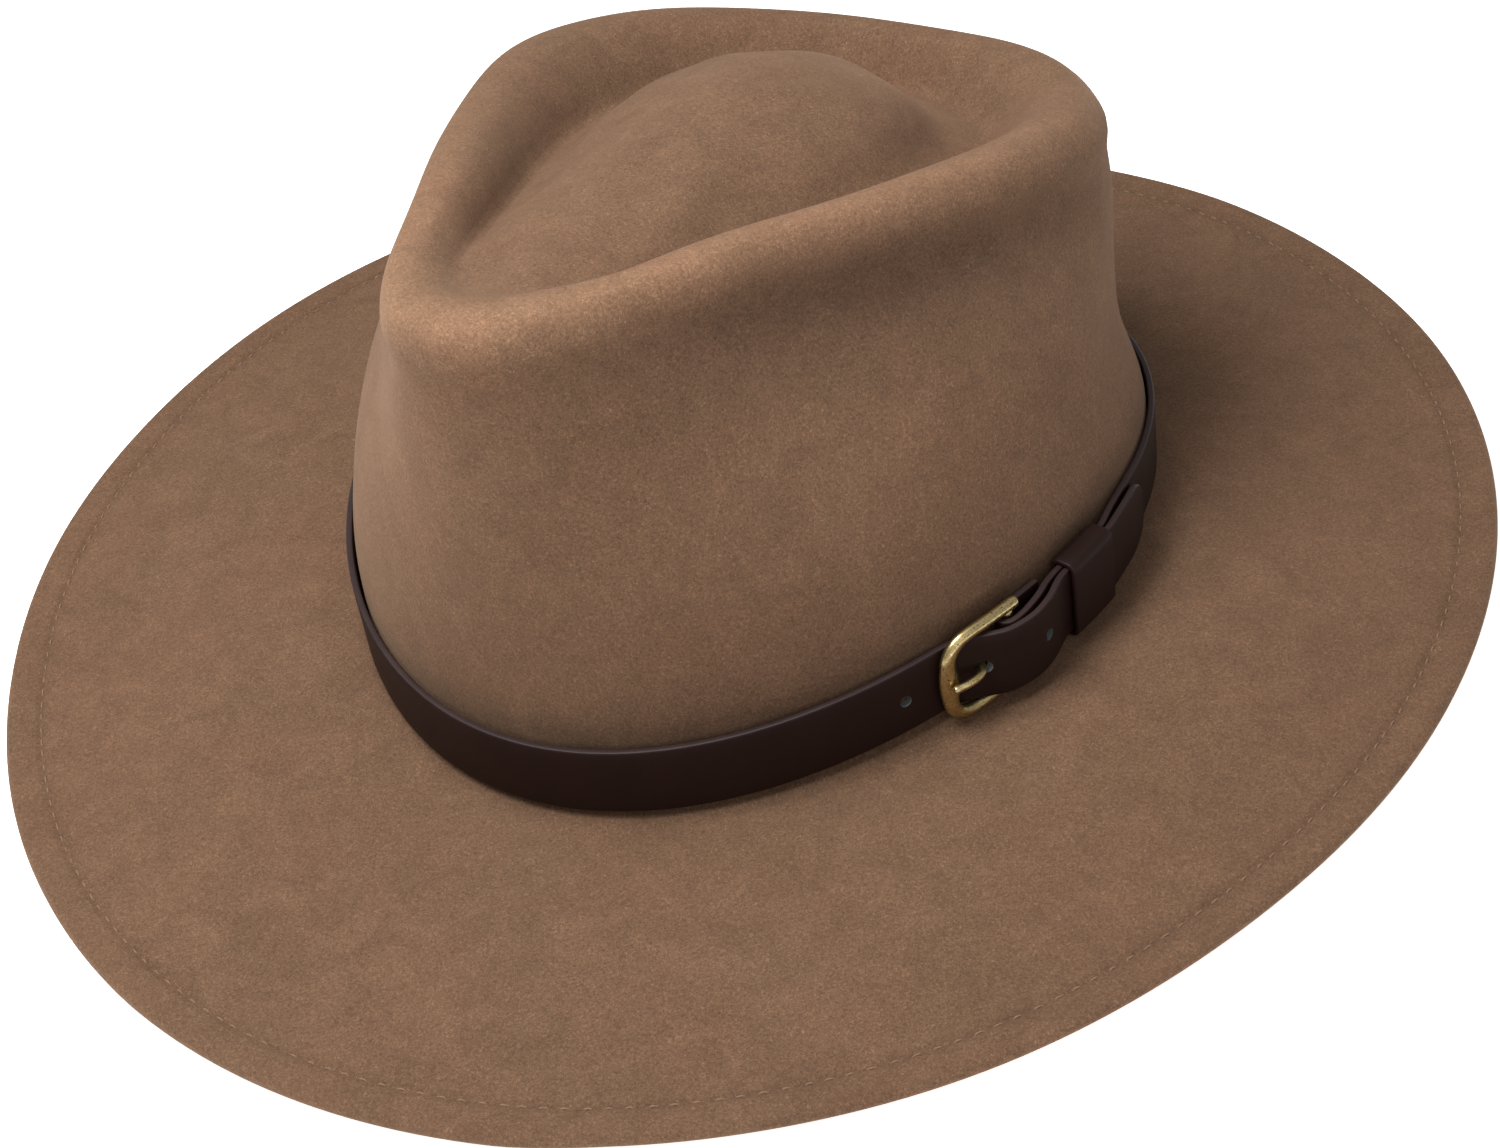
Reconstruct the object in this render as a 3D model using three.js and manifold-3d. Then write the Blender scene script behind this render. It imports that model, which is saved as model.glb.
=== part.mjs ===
// Wide-brim felt fedora with a teardrop crown and a buckled leather strap band.
// Millimetres, +Z up, front of the hat toward -Y, wearer's left (the buckle side) toward +X.
// The origin is the middle of the brim's outline on the plane that the hat rests on.
import * as THREE from 'three';
import { mergeVertices } from 'three/addons/utils/BufferGeometryUtils.js';
import Module from 'manifold-3d';

const wasm = await Module();
wasm.setup();

const DEGREE = Math.PI / 180;
const FULL_TURN = 2 * Math.PI;
const GAP = 0.3;                  // clearance between pieces that touch on the real hat

// Felt
const FELT = 2.0;                 // wall of the crown and brim
const RIM = 3.0;                  // thickness of the folded rim
const FLATTENED = 0.6;            // undersides lower than this lie flat on the resting plane
const CROWN_AT = 4.5;             // the crown's axis stands this far behind the brim's middle
const AROUND = 64;                // points round the hat
const RIM_ROLL = [45, 90, 135];   // degrees round the rim's rolled edge

// Strap and keeper
const STRAP_WIDTH = 16.8;
const STRAP = 1.6;                // leather thickness
const SOFT_EDGE = 0.2;            // the strap's edges are rubbed off by this share of its thickness
const STRAP_BASE = { zFront: 4.2, zSide: 15.8, zBack: 5.4 };   // heights of the strap's lower edge
const LAID = GAP + STRAP / 2;     // middle of a strap that lies on the felt
const NEXT = STRAP + GAP;         // from one layer of leather to the next
const KEEPER = 1.2;               // leather thickness of the keeper loop
const KEEPER_SPAN = { from: 80, to: 88 };     // degrees round from the front
const KEEPER_CLEAR = 0.4;         // between the keeper's back and the felt
const KEEPER_CORNER = 1.0;        // radius of the loop's inner corners
const UNDER_KEEPER = 2.75;        // middle of the strap's inner layer where the keeper holds it
const ROUND_STATIONS = 60;        // divisions of the strap's plain part that goes round the crown

// Holes punched in the strap, and the prong that passes one of them
const PRONG = 0.9;                // radius
const PRONG_HOLE = 1.65;
const SPARE_HOLE = 1.4;
const HOLE_SIDES = 14;
const HOLE_PITCH = 17.5;          // spacing of the punched holes along the strap
const PRONG_HOLE_ALONG = 8;       // from the hinge bar toward the outer bar
const LAST_HOLE_ALONG = -6.9;     // on the free end, between the buckle and the keeper

// Buckle
const HINGE_AT = 70.3;            // degrees round from the front to the hinge bar
const HINGE_BAR = 1.3;            // radius
const FOLD = HINGE_BAR + GAP + STRAP / 2;     // radius of the strap's fold round the hinge bar
const HINGE_OUT = LAID + FOLD;    // hinge bar's distance from the felt
const BUCKLE_REACH = 16;          // from the hinge bar to the outer bar, along the strap
const BUCKLE_CORNER = 5.5;        // radius of the frame's outer corners
const ARM = 1.35;                 // half thickness of the buckle's arms and outer bar
const ARM_HEIGHT = STRAP_WIDTH / 2 + GAP + ARM;
const CORNER_WIDE = 1.9;          // half width where the outer bar leaves its corners
const OUTER_BAR_WIDE = 2.4;       // half width of the outer bar at its middle
const BAR_CLEAR = 0.5;            // between the outer bar and the strap, which rises just behind it
const OUTER_BAR_OUT = LAID + STRAP / 2 + BAR_CLEAR + ARM;   // middle of the outer bar
const EYE_WIRE = 0.7;             // half thickness of the prong's eye
const EYE = HINGE_BAR + GAP + EYE_WIRE;       // radius of the prong's eye, to the wire's middle

// The felt body's outer surface, from the rim over the brim and up the crown, over the ridge and down
// into the valley, then up to the middle of the dome. Each section is a ring round the hat. front and
// back: reach from the crown's axis; side: half width; pinch: how much the ring narrows to the front, as
// in a teardrop; blunt: how far its front end is rounded out again; zFront, zSide and zBack: heights;
// steps: divisions up to the next section.
const SHAPE = ['front', 'back', 'side', 'pinch', 'blunt', 'zFront', 'zSide', 'zBack'];
const SECTION_TABLE = {
  rim_top: [186.5, 177.5, 168.8, 0, 0, 3.0, 9.4, 3.0, 1],
  seam: [180.0, 171.0, 162.3, 0, 0, 2.25, 9.1, 2.3, 2],
  brim_middle: [145, 138, 130, 0.02, 0, 2.8, 11.7, 3.2, 2],
  brim_inner: [114, 111, 103, 0.05, 0, 2.2, 12.1, 3.2, 1],
  break_foot: [103.8, 100.4, 93, 0.06, 0, 2, 11.9, 3.1, 2],
  break_up: [101, 97.4, 90.1, 0.06, 0, 3.3, 14.2, 4.6, 1],
  band_low: [100.8, 97.2, 89.9, 0.06, 0, 6.2, 17.4, 7.5, 1],
  band_top: [100.3, 97, 89.4, 0.06, 0, 22, 33.5, 23, 1],
  wall_low: [98.4, 95.6, 84.6, 0.05, 0, 40, 51, 38, 2],
  wall_middle: [97, 95.6, 80.2, 0.13, 0.04, 64, 70, 52, 2],
  wall_high: [96.6, 95.5, 74.2, 0.29, 0.14, 88, 84, 67, 2],
  dent: [97.2, 93.8, 67, 0.5, 0.27, 105, 96, 79, 1],
  under_ridge: [98.4, 92, 64.6, 0.6, 0.33, 114.4, 104.3, 87, 1],
  ridge: [96.5, 88.8, 59.2, 0.66, 0.36, 120.6, 110.7, 92.2, 1],
  ridge_inner: [88, 82.5, 50.6, 0.68, 0.38, 121.4, 110.3, 92, 1],
  inner_wall: [81.5, 78, 45, 0.64, 0.34, 119, 104, 87, 1],
  valley: [75.5, 74, 41.5, 0.57, 0.3, 116.4, 97, 82.5, 1],
  dome_foot: [68, 69.5, 38, 0.5, 0.26, 116, 98, 84.5, 2],
  dome_shoulder: [40, 53.5, 28, 0.4, 0.12, 116, 105.5, 101, 2],
  dome_middle: [-7, 7, 0, 0, 0, 115, 115, 115, 0],
};
const NAMES = Object.keys(SECTION_TABLE);
const SECTIONS = Object.values(SECTION_TABLE).map((row) => (
  Object.fromEntries([...SHAPE, 'steps'].map((column, i) => [column, row[i]]))));
const LAST = SECTIONS.length - 1;
const BAND_TOP = NAMES.indexOf('band_top');
const RIDGE = NAMES.indexOf('ridge');
const BAND_LOW = SECTIONS[NAMES.indexOf('band_low')];

// Dents pressed into the crown's sides, alike on both sides. at and spread: degrees round from the
// front; below and reach: millimetres down from the ridge; depth: how far the felt is pressed in.
const DENTS = [
  { name: 'side_dent', at: 60, spread: 42, below: 13, reach: 8, depth: 3 },
  { name: 'front_pinch', at: 50, spread: 26, below: 36, reach: 18, depth: 4.6 },
];

// Height of a ring that passes through three named heights at the front, the sides and the back.
function ringHeight(ring, angle) {
  const middle = (ring.zFront + ring.zBack) / 2;
  const lean = ((ring.zFront - ring.zBack) / 2) * Math.cos(angle);
  return (middle + ring.zSide) / 2 + lean + ((middle - ring.zSide) / 2) * Math.cos(2 * angle);
}

function ringPoint(ring, angle) {
  const cos = Math.cos(angle);
  const teardrop = 1 - ring.pinch * cos + ring.blunt * Math.max(cos, 0) ** 3;
  const x = ring.side * Math.sin(angle) * teardrop;
  const y = CROWN_AT + (ring.back - ring.front) / 2 - ((ring.front + ring.back) / 2) * cos;
  return new THREE.Vector3(x, y, ringHeight(ring, angle));
}

// Distance along the felt from the rim to each section, the mean of the front, side and back runs.
const RUN = [0];
for (let i = 1; i <= LAST; i++) {
  const a = SECTIONS[i - 1];
  const b = SECTIONS[i];
  const front = Math.hypot(b.front - a.front, b.zFront - a.zFront);
  const back = Math.hypot(b.back - a.back, b.zBack - a.zBack);
  const side = Math.hypot(b.side - a.side, b.zSide - a.zSide);
  RUN.push(RUN[i - 1] + (front + back + side) / 3);
}

// Slope of one column of the table at a section, from its two neighbours. Over the middle of the
// dome the surface runs on to the other side, so its height is level there.
function slopeAt(column, i) {
  const rise = (j) => (SECTIONS[j + 1][column] - SECTIONS[j][column]) / (RUN[j + 1] - RUN[j]);
  if (i === 0) return rise(0);
  if (i === LAST) return column.startsWith('z') ? 0 : rise(LAST - 1);
  const before = RUN[i] - RUN[i - 1];
  const after = RUN[i + 1] - RUN[i];
  return (rise(i - 1) * after + rise(i) * before) / (before + after);
}

const SLOPES = SECTIONS.map((_, i) => Object.fromEntries(SHAPE.map((c) => [c, slopeAt(c, i)])));

// The ring between section i and the next one, with t from 0 to 1: a smooth cubic through the table.
function ringAt(i, t) {
  const ring = {};
  const length = RUN[i + 1] - RUN[i];
  for (const column of SHAPE) {
    const a = SECTIONS[i][column];
    const b = SECTIONS[i + 1][column];
    const slopeA = SLOPES[i][column] * length;
    const slopeB = SLOPES[i + 1][column] * length;
    ring[column] = a * (1 + 2 * t) * (1 - t) ** 2 + b * t * t * (3 - 2 * t)
      + slopeA * t * (1 - t) ** 2 + slopeB * t * t * (t - 1);
  }
  return ring;
}

function bell(offset, width) {
  return Math.exp(-((offset / width) ** 2));
}

// A point of the outer surface, pressed in toward the crown's middle line by the dents.
function outerPoint(i, part, angle) {
  const point = ringPoint(ringAt(i, part), angle);
  if (i < BAND_TOP || i >= RIDGE) return point;
  const turn = Math.abs(((angle / DEGREE + 180) % 360) - 180);
  const below = ringHeight(SECTIONS[RIDGE], angle) - point.z;
  let depth = 0;
  for (const dent of DENTS) {
    depth += dent.depth * bell(turn - dent.at, dent.spread) * bell(below - dent.below, dent.reach);
  }
  const reach = Math.hypot(point.x, point.y);
  point.x -= (depth * point.x) / reach;
  point.y -= (depth * point.y) / reach;
  return point;
}

// Outward normal of the outer surface, by small steps along and round it.
function outerNormal(i, part, angle) {
  const step = 0.02;
  const low = Math.max(part - step, 0);
  const high = Math.min(part + step, 1);
  const along = outerPoint(i, high, angle).sub(outerPoint(i, low, angle));
  const round = outerPoint(i, part, angle + step).sub(outerPoint(i, part, angle - step));
  return round.cross(along).normalize();
}

function wallAt(i, part) {
  return i === 0 ? RIM + (FELT - RIM) * part : FELT;
}

function innerPoint(i, part, angle) {
  const point = outerPoint(i, part, angle).addScaledVector(outerNormal(i, part, angle), -wallAt(i, part));
  if (point.z < 2 * FLATTENED) point.z = Math.max(0, 2 * (point.z - FLATTENED));
  return point;
}

// A closed body of rings of equal point count, joined ring to ring. A ring of one point is a pole.
function bodyFromRings(rings, closed) {
  const positions = [];
  const starts = [];
  for (const ring of rings) {
    starts.push(positions.length / 3);
    for (const p of ring) positions.push(p.x, p.y, p.z);
  }
  const faces = [];
  const pairs = closed ? rings.length : rings.length - 1;
  for (let r = 0; r < pairs; r++) {
    const next = (r + 1) % rings.length;
    const count = Math.max(rings[r].length, rings[next].length);
    for (let k = 0; k < count; k++) {
      const a = starts[r] + (k % rings[r].length);
      const b = starts[r] + ((k + 1) % rings[r].length);
      const c = starts[next] + ((k + 1) % rings[next].length);
      const d = starts[next] + (k % rings[next].length);
      if (a !== b) faces.push(a, b, c);
      if (c !== d) faces.push(a, c, d);
    }
  }
  const geometry = new THREE.BufferGeometry();
  geometry.setAttribute('position', new THREE.Float32BufferAttribute(positions, 3));
  geometry.setIndex(faces);
  return geometry;
}

function middleOf(ring) {
  const middle = new THREE.Vector3();
  for (const p of ring) middle.add(p);
  return middle.divideScalar(ring.length);
}

// Rings from the dome's middle down to the rim on the inside, round the rim's rolled edge, and back
// over the brim and crown on the outside to the dome's middle again.
function feltGeometry() {
  const angles = Array.from({ length: AROUND }, (_, k) => (k * FULL_TURN) / AROUND);
  const places = [];
  for (let i = 0; i < LAST; i++) {
    for (let step = 0; step < SECTIONS[i].steps; step++) places.push([i, step / SECTIONS[i].steps]);
  }
  const outer = places.map(([i, part]) => angles.map((angle) => outerPoint(i, part, angle)));
  const inner = places.map(([i, part]) => angles.map((angle) => innerPoint(i, part, angle)));
  const middle = ringPoint(SECTIONS[LAST], 0);
  const edge = RIM_ROLL.map((turn) => angles.map((angle, k) => {
    const top = outer[0][k];
    const bottom = inner[0][k];
    const outward = new THREE.Vector3(top.x, top.y, 0).normalize();
    const centre = top.clone().add(bottom).divideScalar(2);
    const half = (top.z - bottom.z) / 2;
    centre.addScaledVector(outward, half * Math.sin(turn * DEGREE));
    centre.z -= half * Math.cos(turn * DEGREE);
    return centre;
  }));
  const underside = middle.clone();
  underside.z -= FELT;
  return bodyFromRings([[underside], ...inner.reverse(), ...edge, ...outer, [middle]], false);
}

// A place on the band: degrees round from the front, distance out from the felt's wall, and height
// above the middle of the strap. A small turn ahead gives the wall's direction there.
const SMALL_TURN = 0.01;
function bandPoint(degrees, out, up) {
  const angle = degrees * DEGREE;
  const point = ringPoint(BAND_LOW, angle);
  const ahead = ringPoint(BAND_LOW, angle + SMALL_TURN);
  const outward = new THREE.Vector3(ahead.y - point.y, point.x - ahead.x, 0).normalize();
  point.addScaledVector(outward, out);
  point.z = ringHeight(STRAP_BASE, angle) + STRAP_WIDTH / 2 + up;
  return point;
}

// Degrees round from the front of a place that lies a length along the strap from the hinge bar,
// toward the outer bar.
const NEAR_HINGE = 8;
const LENGTH_PER_DEGREE = bandPoint(HINGE_AT - NEAR_HINGE, 0, 0)
  .distanceTo(bandPoint(HINGE_AT, 0, 0)) / NEAR_HINGE;
function fromHinge(length) {
  return HINGE_AT - length / LENGTH_PER_DEGREE;
}

// The strap's route, seen from above. It starts as the short flap behind the hinge bar, folds round
// the bar, runs back over the flap and under the keeper, and goes once round the crown.
const FLAP_AND_INNER_END = [
  { at: fromHinge(-11), out: LAID },
  { at: fromHinge(-6), out: LAID },
  { at: fromHinge(-2), out: LAID },
  ...[-90, -60, -30, 0, 30, 60, 90].map((turn) => ({
    at: fromHinge(FOLD * Math.cos(turn * DEGREE)),
    out: HINGE_OUT + FOLD * Math.sin(turn * DEGREE),
  })),
  { at: fromHinge(-3), out: HINGE_OUT + FOLD - 0.2 },
  { at: fromHinge(-8), out: 4.6 },
  { at: fromHinge(-12), out: 3.3 },
  { at: KEEPER_SPAN.from - 0.8, out: UNDER_KEEPER },
  { at: KEEPER_SPAN.to - 4, out: UNDER_KEEPER },
  { at: KEEPER_SPAN.to + 0.8, out: UNDER_KEEPER },
  { at: 93, out: 1.6 },
  { at: 98, out: LAID },
  { at: 104, out: LAID },
];

// The free end: under the outer bar, up through the frame, over the hinge bar and the fold, through
// the keeper and on to its rounded tip.
const FREE_END = [
  { at: 54, out: LAID },
  { at: fromHinge(BUCKLE_REACH + 3), out: LAID },
  { at: fromHinge(BUCKLE_REACH), out: LAID },
  { at: fromHinge(13), out: 1.6 },
  { at: fromHinge(10.5), out: 2.6 },
  { at: fromHinge(PRONG_HOLE_ALONG), out: 4.0 },
  { at: fromHinge(5.5), out: 5.7 },
  { at: fromHinge(3), out: 7.1 },
  { at: fromHinge(0), out: HINGE_OUT + FOLD + NEXT },
  { at: fromHinge(-4), out: 8.0 },
  { at: fromHinge(-9), out: 6.9 },
  { at: fromHinge(-13), out: 5.3 },
  { at: KEEPER_SPAN.from - 0.8, out: UNDER_KEEPER + NEXT },
  { at: KEEPER_SPAN.to - 4, out: UNDER_KEEPER + NEXT },
  { at: KEEPER_SPAN.to + 0.8, out: UNDER_KEEPER + NEXT },
  { at: 92, out: 4.2 },
  { at: 95.5, out: 3.8 },
  { at: 98, out: 3.4, width: 0.93 },
  { at: 99.6, out: 3.2, width: 0.72 },
  { at: 100.3, out: 3.15, width: 0.4 },
];

// A flat strip swept along stations of the band, upright, with softened edges.
function stripGeometry(stations, thickness, width) {
  const soft = thickness * SOFT_EDGE;
  const centres = stations.map((s) => bandPoint(s.at, s.out, 0));
  const rings = centres.map((centre, i) => {
    const before = centres[Math.max(i - 1, 0)];
    const after = centres[Math.min(i + 1, centres.length - 1)];
    const side = new THREE.Vector3(after.y - before.y, before.x - after.x, 0).normalize();
    const half = ((stations[i].width ?? 1) * width) / 2;
    const corners = [
      [thickness / 2, half - soft], [thickness / 2 - soft, half], [soft - thickness / 2, half],
      [-thickness / 2, half - soft], [-thickness / 2, soft - half], [soft - thickness / 2, -half],
      [thickness / 2 - soft, -half], [thickness / 2, soft - half],
    ];
    return corners.map(([out, up]) => {
      const p = centre.clone().addScaledVector(side, out);
      p.z += up;
      return p;
    });
  });
  return bodyFromRings([[middleOf(rings[0])], ...rings, [middleOf(rings[rings.length - 1])]], false);
}

// A round or oval bar swept along stations, with closed ends; joined to itself when closed is true.
function barGeometry(stations, sides, closed) {
  const count = stations.length;
  const centres = stations.map((s) => bandPoint(s.at, s.out, s.up));
  const rings = centres.map((centre, i) => {
    const before = centres[closed ? (i + count - 1) % count : Math.max(i - 1, 0)];
    const after = centres[closed ? (i + 1) % count : Math.min(i + 1, count - 1)];
    const along = after.clone().sub(before).normalize();
    const outward = bandPoint(stations[i].at, stations[i].out + 1, stations[i].up).sub(centre);
    const across = along.clone().cross(stations[i].face ?? outward).normalize();
    const thick = across.clone().cross(along).normalize();
    return Array.from({ length: sides }, (_, k) => {
      const turn = (k * FULL_TURN) / sides;
      return centre.clone()
        .addScaledVector(across, stations[i].wide * Math.cos(turn))
        .addScaledVector(thick, stations[i].thick * Math.sin(turn));
    });
  });
  if (closed) return bodyFromRings(rings, true);
  return bodyFromRings([[middleOf(rings[0])], ...rings, [middleOf(rings[count - 1])]], false);
}

function toSolid(geometry) {
  const bare = geometry.clone();
  bare.deleteAttribute('normal');
  bare.deleteAttribute('uv');
  const merged = mergeVertices(bare, 1e-5);
  const solid = new wasm.Manifold(new wasm.Mesh({
    numProp: 3,
    vertProperties: merged.attributes.position.array,
    triVerts: new Uint32Array(merged.index.array),
  }));
  return solid.volume() < 0 ? toSolid(turnedInsideOut(merged)) : solid;
}

function turnedInsideOut(geometry) {
  const turned = geometry.clone();
  const index = Array.from(geometry.index.array);
  for (let i = 0; i < index.length; i += 3) {
    const second = index[i + 1];
    index[i + 1] = index[i + 2];
    index[i + 2] = second;
  }
  turned.setIndex(index);
  return turned;
}

function toGeometry(solid) {
  const mesh = solid.getMesh();
  const geometry = new THREE.BufferGeometry();
  geometry.setAttribute('position', new THREE.BufferAttribute(new Float32Array(mesh.vertProperties), 3));
  geometry.setIndex(Array.from(mesh.triVerts));
  return geometry;
}

// A punch that points out from the band at a place on it.
function punch(at, out, radius, length) {
  const cylinder = new THREE.CylinderGeometry(radius, radius, length, HOLE_SIDES);
  const centre = bandPoint(at, out, 0);
  const outward = bandPoint(at, out + 1, 0).sub(centre);
  cylinder.applyQuaternion(new THREE.Quaternion().setFromUnitVectors(new THREE.Vector3(0, 1, 0), outward));
  cylinder.translate(centre.x, centre.y, centre.z);
  return toSolid(cylinder);
}

// A block in band coordinates, used to cut the slot for the prong in the strap's fold.
function bandBlock({ from, to, low, high }, height) {
  const rings = [from, to].map((length) => [
    bandPoint(fromHinge(length), low, -height / 2),
    bandPoint(fromHinge(length), high, -height / 2),
    bandPoint(fromHinge(length), high, height / 2),
    bandPoint(fromHinge(length), low, height / 2),
  ]);
  return toSolid(bodyFromRings([[middleOf(rings[0])], ...rings, [middleOf(rings[1])]], false));
}

// The prong's slot, cut in three blocks: from and to along the strap, low and high out from the felt.
const PRONG_SLOT = [
  { from: -5, to: 1.5, low: -1, high: HINGE_OUT + FOLD + STRAP / 2 + 0.1 },
  { from: 1, to: 2.8, low: 0, high: 6.2 },
  { from: 2.5, to: FOLD + STRAP, low: 0, high: 5.3 },
];
const HOLES = [
  { along: PRONG_HOLE_ALONG + HOLE_PITCH, out: LAID, radius: SPARE_HOLE, depth: 4 * STRAP },
  { along: PRONG_HOLE_ALONG, out: 4.0, radius: PRONG_HOLE, depth: 4 },
  { along: LAST_HOLE_ALONG, out: 6.9, radius: SPARE_HOLE, depth: 3.2 },
];

// The whole belt: the inner end, once round the crown, then the free end, with its slot and holes cut.
function leatherStrap() {
  const stations = [...FLAP_AND_INNER_END];
  const from = stations[stations.length - 1].at;
  const to = 360 + FREE_END[0].at;
  for (let i = 1; i < ROUND_STATIONS; i++) {
    stations.push({ at: from + ((to - from) * i) / ROUND_STATIONS, out: LAID });
  }
  for (const place of FREE_END) stations.push({ ...place, at: place.at + 360 });
  let strap = toSolid(stripGeometry(stations, STRAP, STRAP_WIDTH));
  for (const block of PRONG_SLOT) strap = strap.subtract(bandBlock(block, 2 * PRONG + 4 * GAP));
  for (const hole of HOLES) {
    strap = strap.subtract(punch(fromHinge(hole.along), hole.out, hole.radius, hole.depth));
  }
  return toGeometry(strap);
}

// The keeper: a loop of leather round both layers of the strap.
function strapKeeper() {
  const inner = {
    low: KEEPER_CLEAR + KEEPER,
    high: UNDER_KEEPER + NEXT + STRAP / 2 + GAP,
    up: STRAP_WIDTH / 2 + GAP,
  };
  const around = (grow) => {
    const low = inner.low - grow;
    const high = inner.high + grow;
    const up = inner.up + grow;
    const round = KEEPER_CORNER + grow / 2;
    const points = [];
    const centres = [[high - round, up - round, 0], [low + round, up - round, 90],
      [low + round, round - up, 180], [high - round, round - up, 270]];
    for (const [out, height, start] of centres) {
      for (const turn of [0, 45, 90]) {
        const angle = (start + turn) * DEGREE;
        points.push([out + round * Math.cos(angle), height + round * Math.sin(angle)]);
      }
    }
    return points;
  };
  const span = [0, 1 / 3, 2 / 3, 1].map((t) => KEEPER_SPAN.from + t * (KEEPER_SPAN.to - KEEPER_SPAN.from));
  const ringOf = (at, grow) => around(grow).map(([out, up]) => bandPoint(at, out, up));
  const outside = span.map((at) => ringOf(at, KEEPER));
  const inside = span.map((at) => ringOf(at, 0)).reverse();
  return toGeometry(toSolid(bodyFromRings([...outside, ...inside], true)));
}

// The buckle's arm: its half width at places along it, from its rounded end behind the hinge bar.
const ARM_PLACES = [
  { along: -2.4, wide: ARM * 0.5 },
  { along: -1.8, wide: ARM },
  { along: 1, wide: ARM },
  { along: 6, wide: ARM * 1.05 },
];
const CORNER_TURNS = [0, 22.5, 45, 67.5, 90];   // degrees round the frame's outer corner
const FRAME_SIDES = 10;           // points round the sections of the frame, the hinge bar and the prong
const BAR_SIDES = 12;
const PRONG_SIDES = 8;
const EYE_POINTS = 12;            // points along the prong's eye

// The buckle: a horseshoe of brass whose arms carry the hinge bar. Its outer bar swells to its middle.
function buckleFrame() {
  const stations = [];
  const add = (length, up, wide) => {
    const slope = (OUTER_BAR_OUT - HINGE_OUT) * Math.max(0, length / BUCKLE_REACH);
    stations.push({ at: fromHinge(length), out: HINGE_OUT + slope, up, wide, thick: ARM });
  };
  for (const { along, wide } of ARM_PLACES) add(along, ARM_HEIGHT, wide);
  for (const turn of CORNER_TURNS) {
    const angle = turn * DEGREE;
    const length = BUCKLE_REACH - BUCKLE_CORNER * (1 - Math.sin(angle));
    const up = ARM_HEIGHT - BUCKLE_CORNER * (1 - Math.cos(angle));
    add(length, up, ARM + (CORNER_WIDE - ARM) * (turn / 90));
  }
  const lower = stations.slice().reverse().map((s) => ({ ...s, up: -s.up }));
  add(BUCKLE_REACH, 0, OUTER_BAR_WIDE);
  const frame = toSolid(barGeometry([...stations, ...lower], FRAME_SIDES, false));
  const bar = [-1, 1].map((end) => (
    { at: HINGE_AT, out: HINGE_OUT, up: end * ARM_HEIGHT, wide: HINGE_BAR, thick: HINGE_BAR }));
  return toGeometry(frame.add(toSolid(barGeometry(bar, BAR_SIDES, false))));
}

// The prong's shaft: it dips under the strap's fold, rises through the hole and ends on the outer bar.
const PRONG_TOP = OUTER_BAR_OUT + ARM + GAP + PRONG;
const PRONG_SHAFT = [
  { along: EYE - 0.4, out: HINGE_OUT - 0.2 },
  { along: 4.4, out: 2.75 },
  { along: 6.1, out: 2.35 },
  { along: 7.2, out: 2.9 },
  { along: 8.1, out: 4.2 },
  { along: 9.0, out: 5.7 },
  { along: 10.6, out: PRONG_TOP + 0.1 },
  { along: 13.5, out: PRONG_TOP + 0.2 },
  { along: BUCKLE_REACH - 1, out: PRONG_TOP },
  { along: BUCKLE_REACH + 0.4, out: PRONG_TOP - 0.15, end: 0.7 },
];

// The prong: an eye round the hinge bar, and the shaft.
function buckleProng() {
  const eye = Array.from({ length: EYE_POINTS }, (_, k) => {
    const turn = (k * FULL_TURN) / EYE_POINTS;
    const at = fromHinge(EYE * Math.cos(turn));
    const out = HINGE_OUT + EYE * Math.sin(turn);
    const fromBar = bandPoint(at, out, 0).sub(bandPoint(HINGE_AT, HINGE_OUT, 0));
    return { at, out, up: 0, wide: PRONG, thick: EYE_WIRE, face: fromBar };
  });
  const face = new THREE.Vector3(0, 0, 1);
  const shaft = PRONG_SHAFT.map(({ along, out, end = 1 }) => (
    { at: fromHinge(along), out, up: 0, wide: PRONG * end, thick: PRONG * end, face }));
  const ring = toSolid(barGeometry(eye, PRONG_SIDES, true));
  return toGeometry(ring.add(toSolid(barGeometry(shaft, PRONG_SIDES, false))));
}

function piece(name, geometry, colour, roughness, metalness) {
  const material = new THREE.MeshStandardMaterial({ color: colour, roughness, metalness });
  const mesh = new THREE.Mesh(geometry, material);
  mesh.name = name;
  geometry.computeVertexNormals();
  return mesh;
}

const hat = new THREE.Group();
hat.add(piece('felt_body', toGeometry(toSolid(feltGeometry())), '#866b55', 0.95, 0));
hat.add(piece('leather_strap', leatherStrap(), '#2e1c18', 0.5, 0));
hat.add(piece('strap_keeper', strapKeeper(), '#34211d', 0.5, 0));
hat.add(piece('buckle_frame', buckleFrame(), '#8f7440', 0.35, 1));
hat.add(piece('buckle_prong', buckleProng(), '#9a8050', 0.35, 1));

export default hat;
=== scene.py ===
# %% [markdown]
# # A wide-brim felt fedora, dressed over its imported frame
# The frame holds the hat's five pieces at their real size: the felt body, the leather strap, its keeper
# loop, the buckle's frame and its prong. This lesson makes each of them again as a fine mesh in the same
# place, gives every one a finish worked out in nodes, and sets a camera and soft light.

# %% Load the frame
import math
import random

import bmesh
import bpy
import numpy as np
from mathutils import Matrix, Vector


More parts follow.
